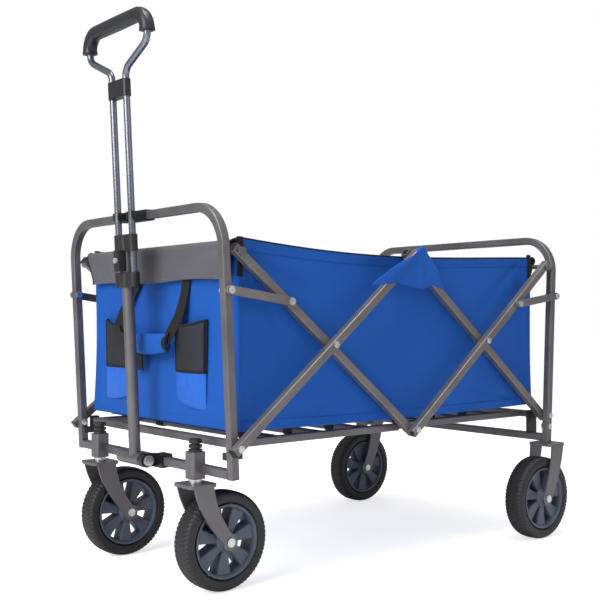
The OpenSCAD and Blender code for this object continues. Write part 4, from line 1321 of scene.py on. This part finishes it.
def screws(name, places, axis, radius, body):
    parts = []
    for place in places:
        p = screw_points(place, axis, radius)
        parts.append((p, capped(p)))
    piece = joined(name, parts, steel)
    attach(piece, body)
    return piece


block_low, _ = span("slide_blocks")
lower_s = (block_low[2] - tilt[2]) / slide_axis[2]
screws("grip_screws", [
    in_handle(-0.052, 12.9 * MM, GRIP_TOP + 1 * MM), in_handle(0.052, 12.9 * MM, GRIP_TOP + 1 * MM),
    in_handle(GRIP_X, 12.6 * MM, GRIP_FOOT + 24 * MM),
    in_handle(-GRIP_X, 12.6 * MM, GRIP_FOOT + 24 * MM),
], front_axis, 2.6 * MM, "upper_handle")
screws("block_screws", [
    in_handle(-0.0215, 9.6 * MM, lower_s + 14 * MM), in_handle(0.0215, 9.6 * MM, lower_s + 14 * MM),
    in_handle(0.006, 8.2 * MM, 0.688),
], front_axis, 2.8 * MM, "upper_handle")
print("screws made")

# %% [markdown]
# ## Floor and light
#
# A pale floor that runs into a pale surround keeps the background quiet. A large soft light from
# the handle's side brightens the front panel, a weaker one fills the long side, and one above
# draws bright lines along the tops of the bars.

# %% Stage and lights
AMBIENT = 0.42
FLOOR_GLOW = 0.62


def area_light(name, place, target, size, power, colour=(1, 1, 1)):
    data = bpy.data.lights.new(name, "AREA")
    data.size = size
    data.energy = power
    data.color = colour
    lamp = bpy.data.objects.new(name, data)
    lamp.location = place
    lamp.rotation_euler = (Vector(target) - Vector(place)).to_track_quat("-Z", "Y").to_euler()
    bpy.context.scene.collection.objects.link(lamp)
    return lamp


def pale_floor():
    made, tree, shader, place = surface("pale floor")
    drift = put(tree, "ShaderNodeTexNoise", {"Vector": place.outputs["Object"], "Scale": 0.8})
    tone = blend_colour(tree, drift.outputs["Fac"], (0.90, 0.90, 0.905), (0.93, 0.93, 0.93))
    tree.links.new(tone, shader.inputs["Base Color"])
    shader.inputs["Roughness"].default_value = 0.9
    seen = put(tree, "ShaderNodeLightPath").outputs["Is Camera Ray"]
    glow = blend_colour(tree, seen, (0, 0, 0), (FLOOR_GLOW, FLOOR_GLOW, FLOOR_GLOW))
    tree.links.new(glow, shader.inputs["Emission Color"])
    shader.inputs["Emission Strength"].default_value = 1.0
    return made


REACH = 30.0
floor = new_piece(
    "studio_floor",
    [(-REACH, -REACH, 0), (REACH, -REACH, 0), (REACH, REACH, 0), (-REACH, REACH, 0)],
    [(0, 1, 2, 3)], pale_floor(),
)

world = bpy.data.worlds.new("surround")
world.use_nodes = True
sky = world.node_tree
seen = put(sky, "ShaderNodeLightPath").outputs["Is Camera Ray"]
sky.nodes["Background"].inputs[0].default_value = (1.0, 1.0, 1.0, 1)
sky.links.new(stretch(sky, seen, 0.0, 1.0, AMBIENT, 1.0), sky.nodes["Background"].inputs[1])
bpy.context.scene.world = world
area_light("front_softbox", (0.5, -3.2, 1.9), (0, 0, 0.4), 2.0, 90)
area_light("side_fill", (3.4, 0.6, 1.6), (0, 0, 0.4), 2.0, 12)
area_light("top_strip", (0.6, -0.4, 3.2), (0, 0, 0.4), 1.2, 60)
bpy.context.scene.view_settings.view_transform = "Standard"
